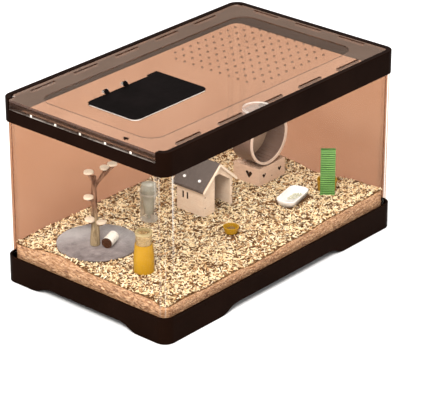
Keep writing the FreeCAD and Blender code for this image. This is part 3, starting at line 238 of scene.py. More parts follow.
def rubber():
    """Dull black rubber for the pads under the tray."""
    f = Finish("pad_rubber")
    colour = f.ramp(f.noise(90, 4), (0.3, (0.018, 0.018, 0.018)), (0.7, (0.035, 0.034, 0.033)))
    grain = f.bump(f.noise(1200, 3), 0.3, 0.3 * MM)
    return f.opaque(colour, 0.8, grain)


def pane(name, thin, thick, gloss=0.5, mottle=6.0):
    """Tinted clear sheet; thin and thick are the tints that its mottling runs between."""
    f = Finish(name)
    tint = f.ramp(f.noise(mottle, 3, 0.6, f.stretched((1, 1, 1.6))), (0.3, thick), (0.72, thin))
    clear = f.clear(tint)
    smear = f.ramp(f.noise(22, 5, 0.65), (0.35, 0.02), (0.8, 0.09))
    mirror = f.mirror(smear)
    share = f.times(f.outer_fresnel(), gloss)
    return f.finish(f.mixed(share, clear, mirror))


def corner_finish(name, dark, pale, glint_share):
    """Clear moulded strip with upright streaks, a pale glossy shader along some of them painted as
    highlights. Where its arms wrap a panel they add no tint of their own.

    The tint starts where a sight line past the panel's end crosses the wall, so it leans with the depth.
    """
    f = Finish(name)
    streaks = f.noise(150, 3, 0.6, f.stretched((1, 1, 0.010)))
    solid = f.ramp(streaks, (0.34, dark), (0.60, pale))
    out_x, out_y = f.math("ABSOLUTE", f.axis("X")), f.math("ABSOLUTE", f.axis("Y"))
    from_x, from_y = f.minus(out_x, POST_CENTRE_X), f.minus(out_y, POST_CENTRE_Y)
    squares = f.math("ADD", f.times(from_x, from_x), f.times(from_y, from_y))
    deep = f.minus(f.math("SQRT", squares), POST_ROUND - POST_THICK / 2)
    past_x = f.minus(out_x, f.times(deep, POST_LEAN_X))
    past_y = f.minus(out_y, f.times(deep, POST_LEAN_Y))
    in_x, in_y = f.above(past_x, POST_TINT_X), f.above(past_y, POST_TINT_Y)
    tint = f.blend(f.times(in_x, in_y), (0.99, 0.985, 0.98), solid)
    clear = f.clear(tint)
    # painted highlights: a pale glossy shader along the streaks, standing in for refraction glints
    lit = f.ramp(streaks, (0.4, (0.80, 0.66, 0.50)), (0.7, (0.96, 0.92, 0.84)))
    glare = f.principled({"Base Color": lit, "Roughness": 0.15})
    share = f.ramp(streaks, (0.54, 0.0), (0.68, glint_share))
    return f.finish(f.mixed(share, clear, glare))


def lid_sheet():
    """Clear lid, faintly milky and copper-toned, more so on the raised margin, with painted shade, dark
    brown, on its cut edges and hole walls.
    """
    f = Finish("lid_sheet")
    clear = f.clear((0.985, 0.975, 0.965, 1))
    haze_tone = f.ramp(f.noise(9, 4, 0.6), (0.3, (0.35, 0.235, 0.175)), (0.75, (0.44, 0.305, 0.235)))
    milky = f.add("ShaderNodeBsdfDiffuse", {"Color": haze_tone}).outputs[0]
    height = f.axis("Z")
    upper = f.above(height, LID_UPPER)
    margin = f.above(height, LID_MARGIN)
    share = f.math("ADD", f.times(upper, 0.13), f.times(margin, 0.10))
    body = f.mixed(share, clear, milky)
    # painted shade: faces that do not face up or down take this dark brown shader, less of it in the vents'
    # field
    edge_shade_tone = f.ramp(f.noise(60, 3), (0.3, (0.040, 0.016, 0.009)), (0.7, (0.085, 0.036, 0.020)))
    edge_shade = f.principled({"Base Color": edge_shade_tone, "Roughness": 0.25, "Specular IOR Level": 0.2})
    along = f.axis("X")
    right_of, left_of = f.above(along, VENTS_LEFT), f.below(along, VENTS_RIGHT)
    between = f.below(f.math("ABSOLUTE", f.axis("Y")), VENTS_HALF)
    in_vents = f.times(f.times(right_of, left_of), between)
    strength = f.minus(EDGE_SHADE, f.times(in_vents, EDGE_SHADE_VENTS))
    edge = f.times(f.below(f.facing("Z"), 0.5), strength)
    body = f.mixed(edge, body, edge_shade)
    smear = f.ramp(f.noise(30, 5, 0.65), (0.35, 0.03), (0.8, 0.12))
    mirror = f.mirror(smear)
    gloss = f.times(f.outer_fresnel(), 0.10)
    return f.finish(f.mixed(gloss, body, mirror))


def lid_rail():
    """Clear rail, copper seen through it, half covered by painted shade, with a painted shadow line in the
    groove under the lid and painted highlights on its lower edge and lugs.
    """
    f = Finish("lid_rail")
    clear = f.clear((0.985, 0.975, 0.965, 1))
    worn = f.noise(45, 4, 0.6, f.stretched((1, 0.5, 1)))
    glint_tone = f.ramp(worn, (0.3, (0.62, 0.52, 0.44)), (0.7, (0.92, 0.86, 0.78)))
    rail_shade_tone = f.ramp(worn, (0.3, (0.022, 0.011, 0.007)), (0.7, (0.055, 0.028, 0.018)))
    painted_glint = f.principled({"Base Color": glint_tone, "Roughness": 0.15})
    dark = f.principled({"Base Color": rail_shade_tone, "Roughness": 0.3, "Specular IOR Level": 0.05})
    height = f.axis("Z")
    lug = f.below(f.axis("X"), LUG_FACE)
    low_edge = f.below(height, RAIL_EDGE)
    over, under = f.above(height, GROOVE_LOW), f.below(height, GROOVE_HIGH)
    groove = f.times(over, under)
    # painted shade: half of the rail takes the near-black shader, and nearly all of the groove, as a
    # painted shadow line
    body = f.mixed(f.math("ADD", 0.50, f.times(groove, 0.42)), clear, dark)
    # painted highlights: the lugs and patches of the lower edge take the pale glossy shader
    lit = f.math("MAXIMUM", lug, f.times(low_edge, f.ramp(worn, (0.35, 0.05), (0.65, 0.40))))
    return f.finish(f.mixed(lit, body, painted_glint))


def bright_clear(name, share):
    """Clear plastic, nearly unseen on its flat faces, with painted highlights: a pale glossy shader shows
    on its edges and faintly on its flat faces.
    """
    f = Finish(name)
    clear = f.clear((0.96, 0.93, 0.90, 1))
    tone = f.ramp(f.noise(120, 3), (0.3, (0.80, 0.74, 0.68)), (0.7, (0.98, 0.95, 0.92)))
    painted_glint = f.principled({"Base Color": tone, "Roughness": 0.12})
    flat = f.above(f.facing("Z"), 0.5)
    # painted highlights: how much of the pale shader shows, most on the edges
    amount = f.blend(flat, f.ramp(f.noise(200, 2), (0.3, share * 0.8), (0.7, share)), (0.10, 0.10, 0.10))
    return f.finish(f.mixed(amount, clear, painted_glint))


def shavings():
    """Pale curled wood, each flake its own tone, with fine fibre along it."""
    f = Finish("wood_shavings")
    tone = f.add("ShaderNodeAttribute", attribute_name="tone").outputs["Fac"]
    colour = f.ramp(
        tone,
        (0.00, (0.10, 0.038, 0.014)),
        (0.10, (0.26, 0.12, 0.045)),
        (0.22, (0.56, 0.32, 0.14)),
        (0.32, (0.92, 0.69, 0.40)),
        (0.70, (0.97, 0.81, 0.52)),
        (1.00, (0.99, 0.91, 0.70)),
    )
    fibre = f.noise(900, 4, 0.6, f.stretched((1, 0.35, 1)))
    streaked = f.blend(0.30, colour, f.ramp(fibre, (0.3, 0.45), (0.7, 1.0)), "MULTIPLY")
    grain = f.bump(fibre, 0.4, 0.3 * MM)
    return f.opaque(streaked, 0.72, grain, specular=0.2)


def shavings_bed():
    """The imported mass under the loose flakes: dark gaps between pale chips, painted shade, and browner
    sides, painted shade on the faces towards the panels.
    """
    f = Finish("shavings_bed")
    chips = f.noise(300, 4, 0.6, f.stretched((1, 0.45, 1)), 1.5)
    # painted shade: near-black gaps between the chips on top
    top = f.ramp(
        chips, (0.40, (0.040, 0.016, 0.007)), (0.64, (0.24, 0.125, 0.050)), (0.76, (0.60, 0.38, 0.17)),
    )
    fibre = f.noise(230, 5, 0.65, f.stretched((0.5, 0.5, 2.2)), 0.8)
    # painted shade: the sides are browner than the loose flakes on top
    side = f.ramp(
        fibre, (0.36, (0.17, 0.080, 0.038)), (0.50, (0.42, 0.235, 0.125)), (0.66, (0.72, 0.46, 0.27)),
    )
    upward = f.above(f.facing("Z"), 0.6)
    colour = f.blend(upward, side, top)
    relief = f.bump(f.noise(300, 4), 0.6, 1.2 * MM)
    return f.opaque(colour, 0.85, relief, specular=0.1)


def side_flakes_shaded():
    """Flakes squeezed against a panel, painted browner and closer in tone than the loose ones: painted
    shade for the bedding's shaded sides.
    """
    f = Finish("side_flakes_shaded")
    tone = f.add("ShaderNodeAttribute", attribute_name="tone").outputs["Fac"]
    fibre = f.noise(900, 4, 0.6, f.stretched((0.4, 0.4, 1)))
    # painted shade: the same flakes in browner, closer tones
    colour = f.ramp(tone, (0.0, (0.22, 0.10, 0.05)), (0.35, (0.46, 0.26, 0.14)), (1.0, (0.74, 0.48, 0.285)))
    streaked = f.blend(0.4, colour, f.ramp(fibre, (0.3, 0.5), (0.7, 1.0)), "MULTIPLY")
    grain = f.bump(fibre, 0.4, 0.3 * MM)
    return f.opaque(streaked, 0.8, grain)


def felt():
    """Pressed grey felt, fuzzy and slightly mottled."""
    f = Finish("grey_felt")
    blotch = f.ramp(f.noise(60, 5, 0.65), (0.34, (0.15, 0.124, 0.122)), (0.66, (0.31, 0.266, 0.260)))
    lint = f.noise(1300, 3, 0.7, None, 1.2)
    colour = f.blend(0.45, blotch, f.ramp(lint, (0.35, 0.55), (0.65, 1.0)), "MULTIPLY")
    fuzz = f.bump(lint, 0.7, 0.8 * MM)
    return f.finish(f.principled({
        "Base Color": colour, "Roughness": 0.95, "Normal": fuzz,
        "Sheen Weight": 0.5, "Sheen Roughness": 0.5, "Specular IOR Level": 0.05,
    }))


def bark():
    """Branch bark: grey brown below, redder above, with cracks along the limb."""
    f = Finish("branch_bark")
    cracks = f.noise(160, 6, 0.7, f.stretched((1, 1, 0.22)))
    low = f.ramp(cracks, (0.32, (0.12, 0.080, 0.042)), (0.62, (0.36, 0.275, 0.165)))
    high = f.ramp(cracks, (0.36, (0.055, 0.020, 0.010)), (0.66, (0.34, 0.185, 0.115)))
    colour = f.blend(f.ramp(f.axis("Z"), (0.12, 0.0), (0.15, 1.0)), low, high)
    relief = f.bump(cracks, 0.8, 1.0 * MM)
    return f.opaque(colour, 0.8, relief, specular=0.1)


def cut_wood():
    """Pale sawn slices with faint rings."""
    f = Finish("sawn_slice")
    rings = f.add(
        "ShaderNodeTexWave", {"Vector": f.place, "Scale": 260.0, "Distortion": 6.0, "Detail": 3.0},
        wave_type="RINGS", rings_direction="Z",
    ).outputs["Fac"]
    colour = f.ramp(rings, (0.2, (0.52, 0.39, 0.27)), (0.8, (0.78, 0.66, 0.52)))
    relief = f.bump(f.noise(700, 4), 0.3, 0.3 * MM)
    return f.opaque(colour, 0.7, relief)


def plywood(name, dark, light, edge):
    """Sanded board with fine grain, darker where the sheet is cut through."""
    f = Finish(name)
    grain = f.noise(85, 6, 0.6, f.stretched((1, 1, 7)), 0.6)
    face = f.ramp(grain, (0.3, dark), (0.72, light))
    scuff = f.ramp(f.noise(26, 4), (0.35, 0.90), (0.7, 1.0))
    colour = f.blend(1.0, face, scuff, "MULTIPLY")
    layers = f.noise(500, 2, 0.5, f.stretched((1, 1, 0.1)))
    side = f.ramp(layers, (0.35, edge), (0.65, light))
    off_y, off_x = f.below(f.facing("Y"), 0.5), f.below(f.facing("X"), 0.5)
    skew = f.times(off_y, off_x)
    colour = f.blend(skew, colour, side)
    relief = f.bump(grain, 0.25, 0.3 * MM)
    return f.opaque(colour, 0.62, relief, specular=0.25)


def roof_board():
    """Grey brown stained board with pale raw ends."""
    f = Finish("roof_stain")
    grain = f.noise(70, 6, 0.6, f.stretched((1, 5, 1)), 0.5)
    stain = f.ramp(grain, (0.3, (0.072, 0.055, 0.048)), (0.7, (0.120, 0.094, 0.080)))
    raw = f.ramp(f.noise(200, 4), (0.3, (0.62, 0.46, 0.32)), (0.7, (0.78, 0.62, 0.46)))
    colour = f.blend(f.above(f.facing("Y"), 0.5), stain, raw)
    relief = f.bump(grain, 0.3, 0.3 * MM)
    return f.opaque(colour, 0.55, relief)


def plastic(name, dark, light, rough=0.35, grain=0.15, specular=0.5):
    """Moulded plastic with slight colour drift, uneven gloss and fine grain."""
    f = Finish(name)
    colour = f.ramp(f.noise(30, 4), (0.3, dark), (0.7, light))
    gloss = f.ramp(f.noise(70, 4), (0.3, rough * 0.85), (0.7, rough * 1.2))
    relief = f.bump(f.noise(1100, 3), grain, 0.2 * MM)
    return f.opaque(colour, gloss, relief, specular=specular)


def ladder_green():
    """Green board with painted shade: darker down in the grooves between its ribs."""
    f = Finish("ladder_green")
    drift = f.noise(30, 4)
    rib = f.ramp(drift, (0.3, (0.13, 0.32, 0.080)), (0.7, (0.20, 0.42, 0.12)))
    # painted shade: the colour given to the grooves
    groove = f.ramp(drift, (0.3, (0.030, 0.10, 0.020)), (0.7, (0.055, 0.16, 0.032)))
    climb = f.math("DIVIDE", f.minus(f.axis("Z"), RIB_START), RIB_STEP)
    in_groove = f.below(f.math("FRACT", climb), GROOVE_SHARE)
    colour = f.blend(f.times(in_groove, 0.85), rib, groove)
    relief = f.bump(f.noise(1100, 3), 0.2, 0.2 * MM)
    return f.opaque(colour, 0.45, relief, specular=0.25)


def wheel_plastic():
    """Taupe drum with a paler back and a cream open rim."""
    f = Finish("wheel_taupe")
    drift = f.noise(35, 4)
    band = f.ramp(drift, (0.3, (0.150, 0.095, 0.072)), (0.7, (0.215, 0.140, 0.108)))
    disc = f.ramp(drift, (0.3, (0.46, 0.31, 0.21)), (0.7, (0.60, 0.43, 0.30)))
    rim = f.ramp(drift, (0.3, (0.66, 0.50, 0.40)), (0.7, (0.80, 0.64, 0.53)))
    colour = f.blend(f.above(f.facing("Y"), 0.7), band, disc)
    colour = f.blend(f.below(f.axis("Y"), WHEEL_RIM_Y), colour, rim)
    relief = f.bump(f.noise(900, 3), 0.15, 0.2 * MM)
    return f.opaque(colour, 0.38, relief)


def smoked(name, tone_low, tone_high, share):
    """Translucent plastic: part of what is behind shows through its own colour."""
    f = Finish(name)
    clear = f.clear((0.93, 0.90, 0.86, 1))
    colour = f.ramp(f.noise(50, 4), (0.3, tone_low), (0.7, tone_high))
    solid = f.principled({"Base Color": colour, "Roughness": 0.14})
    amount = f.ramp(f.noise(40, 3), (0.3, share * 0.85), (0.7, share))
    return f.finish(f.mixed(amount, clear, solid))


def steel():
    """Plated pins and shaft, unevenly polished."""
    f = Finish("plated_steel")
    rough = f.ramp(f.noise(400, 4), (0.3, 0.18), (0.7, 0.34))
    colour = f.ramp(f.noise(120, 3), (0.3, (0.52, 0.51, 0.50)), (0.7, (0.68, 0.67, 0.66)))
    return f.finish(f.principled({"Base Color": colour, "Metallic": 1.0, "Roughness": rough}))


def log_bark():
    """White papery bark round dark sawn ends."""
    f = Finish("birch_log")
    peel = f.noise(120, 6, 0.7, f.stretched((3, 3, 1)), 1.0)
    skin = f.ramp(peel, (0.34, (0.20, 0.15, 0.11)), (0.42, (0.80, 0.76, 0.68)), (0.8, (0.93, 0.91, 0.86)))
    heart = f.ramp(f.noise(240, 5), (0.3, (0.030, 0.010, 0.005)), (0.7, (0.090, 0.038, 0.018)))
    relief = f.bump(peel, 0.5, 0.5 * MM)
    low = f.principled({"Base Color": skin, "Roughness": 0.7, "Normal": relief})
    end = f.principled({"Base Color": heart, "Roughness": 0.8, "Specular IOR Level": 0.05})
    sockets = {0: f.own_normal(), 1: LOG_ALONG.normalized()}
    squareness = f.add("ShaderNodeVectorMath", sockets, operation="DOT_PRODUCT").outputs["Value"]
    facing_end = f.above(f.math("ABSOLUTE", squareness), 0.7)
    return f.finish(f.mixed(facing_end, low, end))


# ---- helpers for new pieces ----


def piece_from(bm, name, material, body, smooth=True):
    """A finished object from a bmesh, riding on its body."""
    mesh = bpy.data.meshes.new(name)
    bm.to_mesh(mesh)
    bm.free()
    for face in mesh.polygons:
        face.use_smooth = smooth
    mesh.materials.append(material)
    piece = bpy.data.objects.new(name, mesh)
    bpy.context.scene.collection.objects.link(piece)
    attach(piece, body)
    return piece


def soften(bm, edges, width, segments):
    """Round some edges over."""
    bmesh.ops.bevel(
        bm, geom=edges, offset=width, segments=segments, affect="EDGES", profile=0.5, material=-1
    )


def climb_of(edge):
    """How far an edge climbs along Z."""
    return abs(edge.verts[0].co.z - edge.verts[1].co.z)


def edges_of(made):
    """The edges of a shape that a bmesh operator has just made, each once and in a fixed order."""
    return list(dict.fromkeys(e for v in made["verts"] for e in v.link_edges))


def only(kind, items):
    """The items of one kind in what an operator gives back."""
    return [item for item in items if isinstance(item, kind)]


def join(bm, part):
    """Add one bmesh to another and free it."""
    carrier = bpy.data.meshes.new("carrier")
    part.to_mesh(carrier)
    part.free()
    bm.from_mesh(carrier)
    bpy.data.meshes.remove(carrier)


def section(bm, wide, tall, middle):
    """An upright rectangle across the X axis, as the start of a spun wall."""
    bmesh.ops.create_grid(bm, x_segments=1, y_segments=1, size=0.5)
    bmesh.ops.scale(bm, verts=bm.verts, vec=(wide, tall, 1))
    bmesh.ops.rotate(bm, verts=bm.verts, matrix=Matrix.Rotation(math.pi / 2, 3, "X"))
    bmesh.ops.translate(bm, verts=bm.verts, vec=(middle, 0, tall / 2))


def quarter_turn(bm, steps):
    """Spin what the bmesh holds a quarter of the way round the Z axis; gives the spun geometry."""
    geometry = bm.verts[:] + bm.edges[:] + bm.faces[:]
    return bmesh.ops.spin(bm, geom=geometry, axis=(0, 0, 1), angle=math.pi / 2, steps=steps)


def box_and_middle(name):
    """Low corner, high corner and middle of a CAD node."""
    low, high = node_box(name)
    return low, high, (low + high) / 2


def paint(material, names):
    """Give CAD pieces a finish."""
    """Give CAD nodes a finish."""
    for name in names:
        for holder in NODES[name].material_slots:
            holder.material = material


# ---- the shavings ----


# places where the heap's height is known: x, y and the height over the bedding's level, in millimetres
HEAPS = (
    (-291, 174, -2), (-291, 60, 9), (-291, -25, -1), (-291, -133, -2), (-278, -174, -9),
    (-177, -174, -10), (-54, -174, -12), (50, -174, -6), (148, -174, -1), (280, -174, 2),
    (291, -166, -2), (291, -22, -12), (291, 66, -5), (150, 174, 1), (0, 174, 0), (-150, 174, -1),
    (-200, 60, 0), (-226, -68, 0), (-100, -80, 0), (0, -80, 0), (28, 20, 0), (100, 80, 1),
    (186, 30, 0), (150, -78, 0), (220, -105, 0), (-100, 40, 0),
)
HEAP_NEAR, HEAP_POWER = 4 * MM, -3
# fine lumps on the heap: how close together, which layer of the noise, how tall
LUMPS = ((38, 0, 1.3 * MM), (110, 3, 0.9 * MM))
MAT_SLOPE = 14 * MM
MASS_SUNK = 1.2 * MM
# the mass: its cells along X and Y, the cuts up its sides, and the dents in them
MASS_CELLS, SIDE_CUTS, SIDE_EDGE = (144, 86), 7, 20 * MM
AT_SIDE, SIDE_BELOW, SIDE_PUSH = 0.985, 14 * MM, 0.9 * MM


def heap_height(x, y):
    """Height of the shavings: the known heights, the nearest counting most, and fine lumps."""
    total = weight = 0.0
    for hx, hy, rise in HEAPS:
        distance = math.hypot(x - hx * MM, y - hy * MM) + HEAP_NEAR
        share = distance ** HEAP_POWER
        total += share * rise * MM
        weight += share
    lumps = sum(noise.noise(Vector((x, y, layer)) * scale) * tall for scale, layer, tall in LUMPS)
    off_mat = (math.hypot(x - MAT_MIDDLE.x, y - MAT_MIDDLE.y) - MAT_RADIUS) / MAT_SLOPE
    return BED_TOP - MASS_SUNK + (total / weight + lumps) * min(max(off_mat, 0), 1)


def bed_mass():
    """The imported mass, its top heaped and its sides pressed flat against the panels."""
    bm = bmesh.new()
    half_x, half_y = BED_HIGH.x, BED_HIGH.y
    bmesh.ops.create_grid(bm, x_segments=MASS_CELLS[0], y_segments=MASS_CELLS[1], size=1.0)
    for vert in bm.verts:
        x, y = vert.co.x * half_x, vert.co.y * half_y
        over_x, over_y = abs(x) - (half_x - BED_CORNER), abs(y) - (half_y - BED_CORNER)
        if over_x > 0 and over_y > 0:
            reach = max(over_x, over_y)
            turn = math.atan2(over_y, over_x)
            over_x, over_y = reach * math.cos(turn), reach * math.sin(turn)
            x = math.copysign(half_x - BED_CORNER + over_x, x)
            y = math.copysign(half_y - BED_CORNER + over_y, y)
        vert.co = Vector((x, y, BED_LOW.z))
    bottom = list(bm.faces)
    bmesh.ops.reverse_faces(bm, faces=bottom)
    grown = bmesh.ops.extrude_face_region(bm, geom=bottom, use_keep_orig=True)
    for vert in only(bmesh.types.BMVert, grown["geom"]):
        vert.co.z = heap_height(vert.co.x, vert.co.y)
    sides = [e for e in bm.edges if climb_of(e) > SIDE_EDGE]
    bmesh.ops.subdivide_edges(bm, edges=sides, cuts=SIDE_CUTS, use_grid_fill=True)
    for vert in bm.verts:
        at_side = max(abs(vert.co.x) / half_x, abs(vert.co.y) / half_y) > AT_SIDE
        if at_side and vert.co.z < BED_TOP - SIDE_BELOW:
            push = noise.noise(vert.co * 90) * SIDE_PUSH
            vert.co.x -= math.copysign(max(push, 0), vert.co.x)
    bmesh.ops.recalc_face_normals(bm, faces=bm.faces)
    return bm


FLAKE_WIDE, FLAKE_THICK, FLAKE_TAPER, FLAKE_DROP = 0.25, 0.035, 1.1, 0.12


def flake(curl, twist):
    """One curled shaving of unit length, as a thin closed strip."""
    bm = bmesh.new()
    bmesh.ops.create_cube(bm, size=1.0)
    bmesh.ops.scale(bm, verts=bm.verts, vec=(1.0, FLAKE_WIDE, FLAKE_THICK))
    along = [e for e in bm.edges if abs(e.verts[0].co.x - e.verts[1].co.x) > 0.5]
    bmesh.ops.subdivide_edges(bm, edges=along, cuts=2, use_grid_fill=True)
    for vert in bm.verts:
        x = vert.co.x
        vert.co.y *= 1 - FLAKE_TAPER * x * x
        vert.co.z += curl * (x * x - FLAKE_DROP) + twist * x * vert.co.y
    mesh = bpy.data.meshes.new("flake")
    bm.to_mesh(mesh)
    bm.free()
    mesh.attributes.new("tone", "FLOAT", "POINT")
    return mesh


def scatter_flakes(name, flakes, spots, seed, finish="shavings"):
    """Copies of the flakes at the given places, each with its own tone, as one piece."""
    rng = random.Random(seed)
    bm = bmesh.new()
    for matrix in spots(rng):
        one = rng.choice(flakes).copy()
        tone = rng.random()
        one.attributes["tone"].data.foreach_set("value", [tone] * len(one.vertices))
        one.transform(matrix)
        bm.from_mesh(one)
        bpy.data.meshes.remove(one)
    return piece_from(bm, name, MATERIALS[finish], "base", smooth=False)


DISHES = [node_box(name) for name in ("food_dish", "treat_pot", "small_tub", "large_tub")]
# how near loose flakes may lie to dishes, mat and walls, then how many they are, and, in millimetres,
# how long; how they lean, and how far over the heap or up the panels they lie
DISH_EDGE, MAT_EDGE, WALL_EDGE = 3 * MM, 1.5 * MM, 3 * MM
TOP_FLAKES, SIDE_FLAKES = 5800, 2400
TOP_SIZES, SIDE_SIZES = (4.6, 9.0), (6, 12)
TOP_TILT, TOP_ROLL, TOP_LIFTS, TOP_OVER = 0.24, 0.5, (0.1, 1.9), 5 * MM
SIDE_TILT, SIDE_SLOPE = 0.25, 0.22
SIDE_LOW, SIDE_TOP_GAP = 44 * MM, 1.5 * MM


def open_ground(x, y):
    """True where loose flakes may lie: off the mat and out of the dishes."""
    if math.hypot(x - MAT_MIDDLE.x, y - MAT_MIDDLE.y) < MAT_RADIUS + MAT_EDGE:
        return False
    for low, high in DISHES:
        in_x = low.x + DISH_EDGE < x < high.x - DISH_EDGE
        if in_x and low.y + DISH_EDGE < y < high.y - DISH_EDGE:
            return False
    return True


def top_spots(count):
    """Flakes lying loose on the heap, each tilted and turned its own way."""
    def spots(rng):
        made = 0
        while made < count:
            x = rng.uniform(-1, 1) * (BED_HIGH.x - WALL_EDGE)
            y = rng.uniform(-1, 1) * (BED_HIGH.y - WALL_EDGE)
            if not open_ground(x, y):
                continue
            made += 1
            size = rng.uniform(*TOP_SIZES) * MM
            edge = min(BED_HIGH.x - abs(x), BED_HIGH.y - abs(y))
            size = min(size, edge + TOP_OVER)
            tilt = rng.gauss(0, TOP_TILT)
            roll = rng.gauss(0, TOP_ROLL)
            turn = Matrix.Rotation(rng.uniform(0, 2 * math.pi), 4, "Z")
            lean = Matrix.Rotation(tilt, 4, "Y") @ Matrix.Rotation(roll, 4, "X")
            lift = rng.uniform(*TOP_LIFTS) * MM
            at = Matrix.Translation((x, y, heap_height(x, y) + lift))
            yield at @ turn @ lean @ Matrix.Scale(size, 4)
    return spots


def side_spots(count):
    """Flakes lying flat against the inside of the panels, nearly level."""
    def spots(rng):
        half_x, half_y = BED_HIGH.x, BED_HIGH.y
        span = 2 * (half_x + half_y - 2 * BED_CORNER)
        for _ in range(count):
            run = rng.uniform(0, 2 * span)
            side = int(run // span)
            run = run % span
            flip = -1 if side else 1
            if run < 2 * (half_x - BED_CORNER):
                x, y = run - (half_x - BED_CORNER), -half_y
                turn = 0.0
            else:
                run -= 2 * (half_x - BED_CORNER)
                x, y = -half_x, run - (half_y - BED_CORNER)
                turn = math.pi / 2
            x, y = x * flip, y * flip
            top = heap_height(x, y)
            z = rng.uniform(SIDE_LOW, top - SIDE_TOP_GAP)
            size = rng.uniform(*SIDE_SIZES) * MM
            upright = Matrix.Rotation(math.pi / 2 + rng.gauss(0, SIDE_TILT), 4, "X")
            slope = Matrix.Rotation(rng.gauss(0, SIDE_SLOPE), 4, "Y")
            at = Matrix.Translation((x, y, z))
            yield at @ Matrix.Rotation(turn, 4, "Z") @ slope @ upright @ Matrix.Scale(size, 4)
    return spots


def lay_shavings():
    """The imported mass, three layers of loose flakes on it, and the flakes against the panels."""
    mass = piece_from(bed_mass(), "shavings_mass", MATERIALS["bed"], "base")
    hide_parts("bedding")
    flakes = [flake(curl, twist) for curl in (0.15, 0.4, 0.75) for twist in (-0.5, 0.2, 0.9)]
    for name, seed in (("shavings_first", 3), ("shavings_second", 8), ("shavings_third", 21)):
        scatter_flakes(name, flakes, top_spots(TOP_FLAKES), seed)
    scatter_flakes("shavings_sides", flakes, side_spots(SIDE_FLAKES), 5, "pressed")


# ---- the corner strips ----


def corner_strip(end, side):
    """A clear upright strip: a quarter turn of wall with a short arm along each panel."""
    node = "corner_post_%s_%s" % (end, side)
    low, high = node_box(node)
    tall = high.z - low.z
    bm = bmesh.new()
    section(bm, POST_THICK, tall, POST_ROUND - POST_THICK / 2)
    start = list(bm.faces)
    spun = quarter_turn(bm, POST_STEPS)
    last = only(bmesh.types.BMFace, spun["geom_last"])
    for faces, way in ((start, (0, -1, 0)), (last, (-1, 0, 0))):
        grown = bmesh.ops.extrude_face_region(bm, geom=faces)
        moved = only(bmesh.types.BMVert, grown["geom"])
        bmesh.ops.translate(bm, verts=moved, vec=Vector(way) * (POST_ARM - POST_ROUND))
        bmesh.ops.delete(bm, geom=[f for f in faces if f.is_valid], context="FACES_ONLY")
    bmesh.ops.remove_doubles(bm, verts=bm.verts, dist=0.001 * MM)
    x_way = 1 if side == "right" else -1
    y_way = 1 if end == "back" else -1
    bmesh.ops.scale(bm, verts=bm.verts, vec=(x_way, y_way, 1))
    corner_x = high.x if x_way > 0 else low.x
    corner_y = high.y if y_way > 0 else low.y
    at = (corner_x - x_way * POST_ROUND, corner_y - y_way * POST_ROUND, low.z)
    bmesh.ops.translate(bm, verts=bm.verts, vec=at)
    bmesh.ops.recalc_face_normals(bm, faces=bm.faces)
    near = end == "front" and side == "left"
    finish = MATERIALS["strip" if near else "strip_far"]
    strip = piece_from(bm, "strip_%s_%s" % (end, side), finish, "tank", smooth=False)
    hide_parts(node)


# ---- the felt mat and the tree ----


FELT_THICK, FELT_EDGE_IN, FELT_SUNK, FELT_WAVE = 2.6 * MM, 0.6 * MM, 0.3 * MM, 0.5 * MM
FELT_RINGS = (2, 4, 6, 8, 10, 12, 12)


def felt_mat():
    """A round mat with a soft, slightly wavy edge."""
    bm = bmesh.new()
    bmesh.ops.create_circle(bm, cap_ends=True, segments=120, radius=MAT_RADIUS - FELT_EDGE_IN)
    for step in FELT_RINGS:
        face = max(bm.faces, key=lambda f: len(f.verts))
        bmesh.ops.inset_region(bm, faces=[face], thickness=step * MM, use_even_offset=True)
    for vert in bm.verts:
        far = vert.co.length / MAT_RADIUS
        vert.co *= 1 + 0.010 * far * noise.noise(vert.co * 45)
        vert.co.z = noise.noise(vert.co * 30) * FELT_WAVE * far
    bmesh.ops.recalc_face_normals(bm, faces=bm.faces)
    if bm.faces[0].normal.z < 0:
        bmesh.ops.reverse_faces(bm, faces=bm.faces)
    bmesh.ops.translate(bm, verts=bm.verts, vec=(MAT_MIDDLE.x, MAT_MIDDLE.y, MAT_HIGH.z - FELT_SUNK))
    bmesh.ops.solidify(bm, geom=bm.faces, thickness=FELT_THICK)
    mat = piece_from(bm, "mat", MATERIALS["felt"], "base")
    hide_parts("felt_mat")


def evaluated(bm, name, modifiers):
    """The bmesh after some modifiers, as a new bmesh."""
    mesh = bpy.data.meshes.new(name)
    bm.to_mesh(mesh)
    bm.free()
    helper = bpy.data.objects.new(name, mesh)
    bpy.context.scene.collection.objects.link(helper)
    for kind, settings in modifiers:
        modifier = helper.modifiers.new(kind, kind)
        for key, value in settings.items():
            setattr(modifier, key, value)
    finished = helper.evaluated_get(bpy.context.evaluated_depsgraph_get())
    shaped = bpy.data.meshes.new_from_object(finished)
    out = bmesh.new()
    out.from_mesh(shaped)
    bpy.data.objects.remove(helper)
    bpy.data.meshes.remove(mesh)
    bpy.data.meshes.remove(shaped)
    return out


# a limb is cut about this often along its length, and its knobs are this close together
KNOB_STEP, KNOB_SCALE = 5 * MM, 70


def limb(bm, start, end, thick, thin, gnarl):
    """A tapering, knobbly limb between two points."""
    reach = end - start
    turn = reach.to_track_quat("Z", "Y").to_matrix().to_4x4()
    own = bmesh.new()
    bmesh.ops.create_cone(
        own, cap_ends=True, segments=14, radius1=thick, radius2=thin, depth=reach.length,
        matrix=Matrix.Translation(start + reach / 2) @ turn,
    )
    walls = {f for f in own.faces if len(f.verts) == 4}
    along = [e for e in own.edges if len(e.link_faces) == 2 and walls.issuperset(e.link_faces)]
    cuts = max(2, int(reach.length / KNOB_STEP))
    bmesh.ops.subdivide_edges(own, edges=along, cuts=cuts, use_grid_fill=True)
    for vert in own.verts:
        vert.co += noise.noise_vector(vert.co * KNOB_SCALE) * gnarl
    join(bm, own)


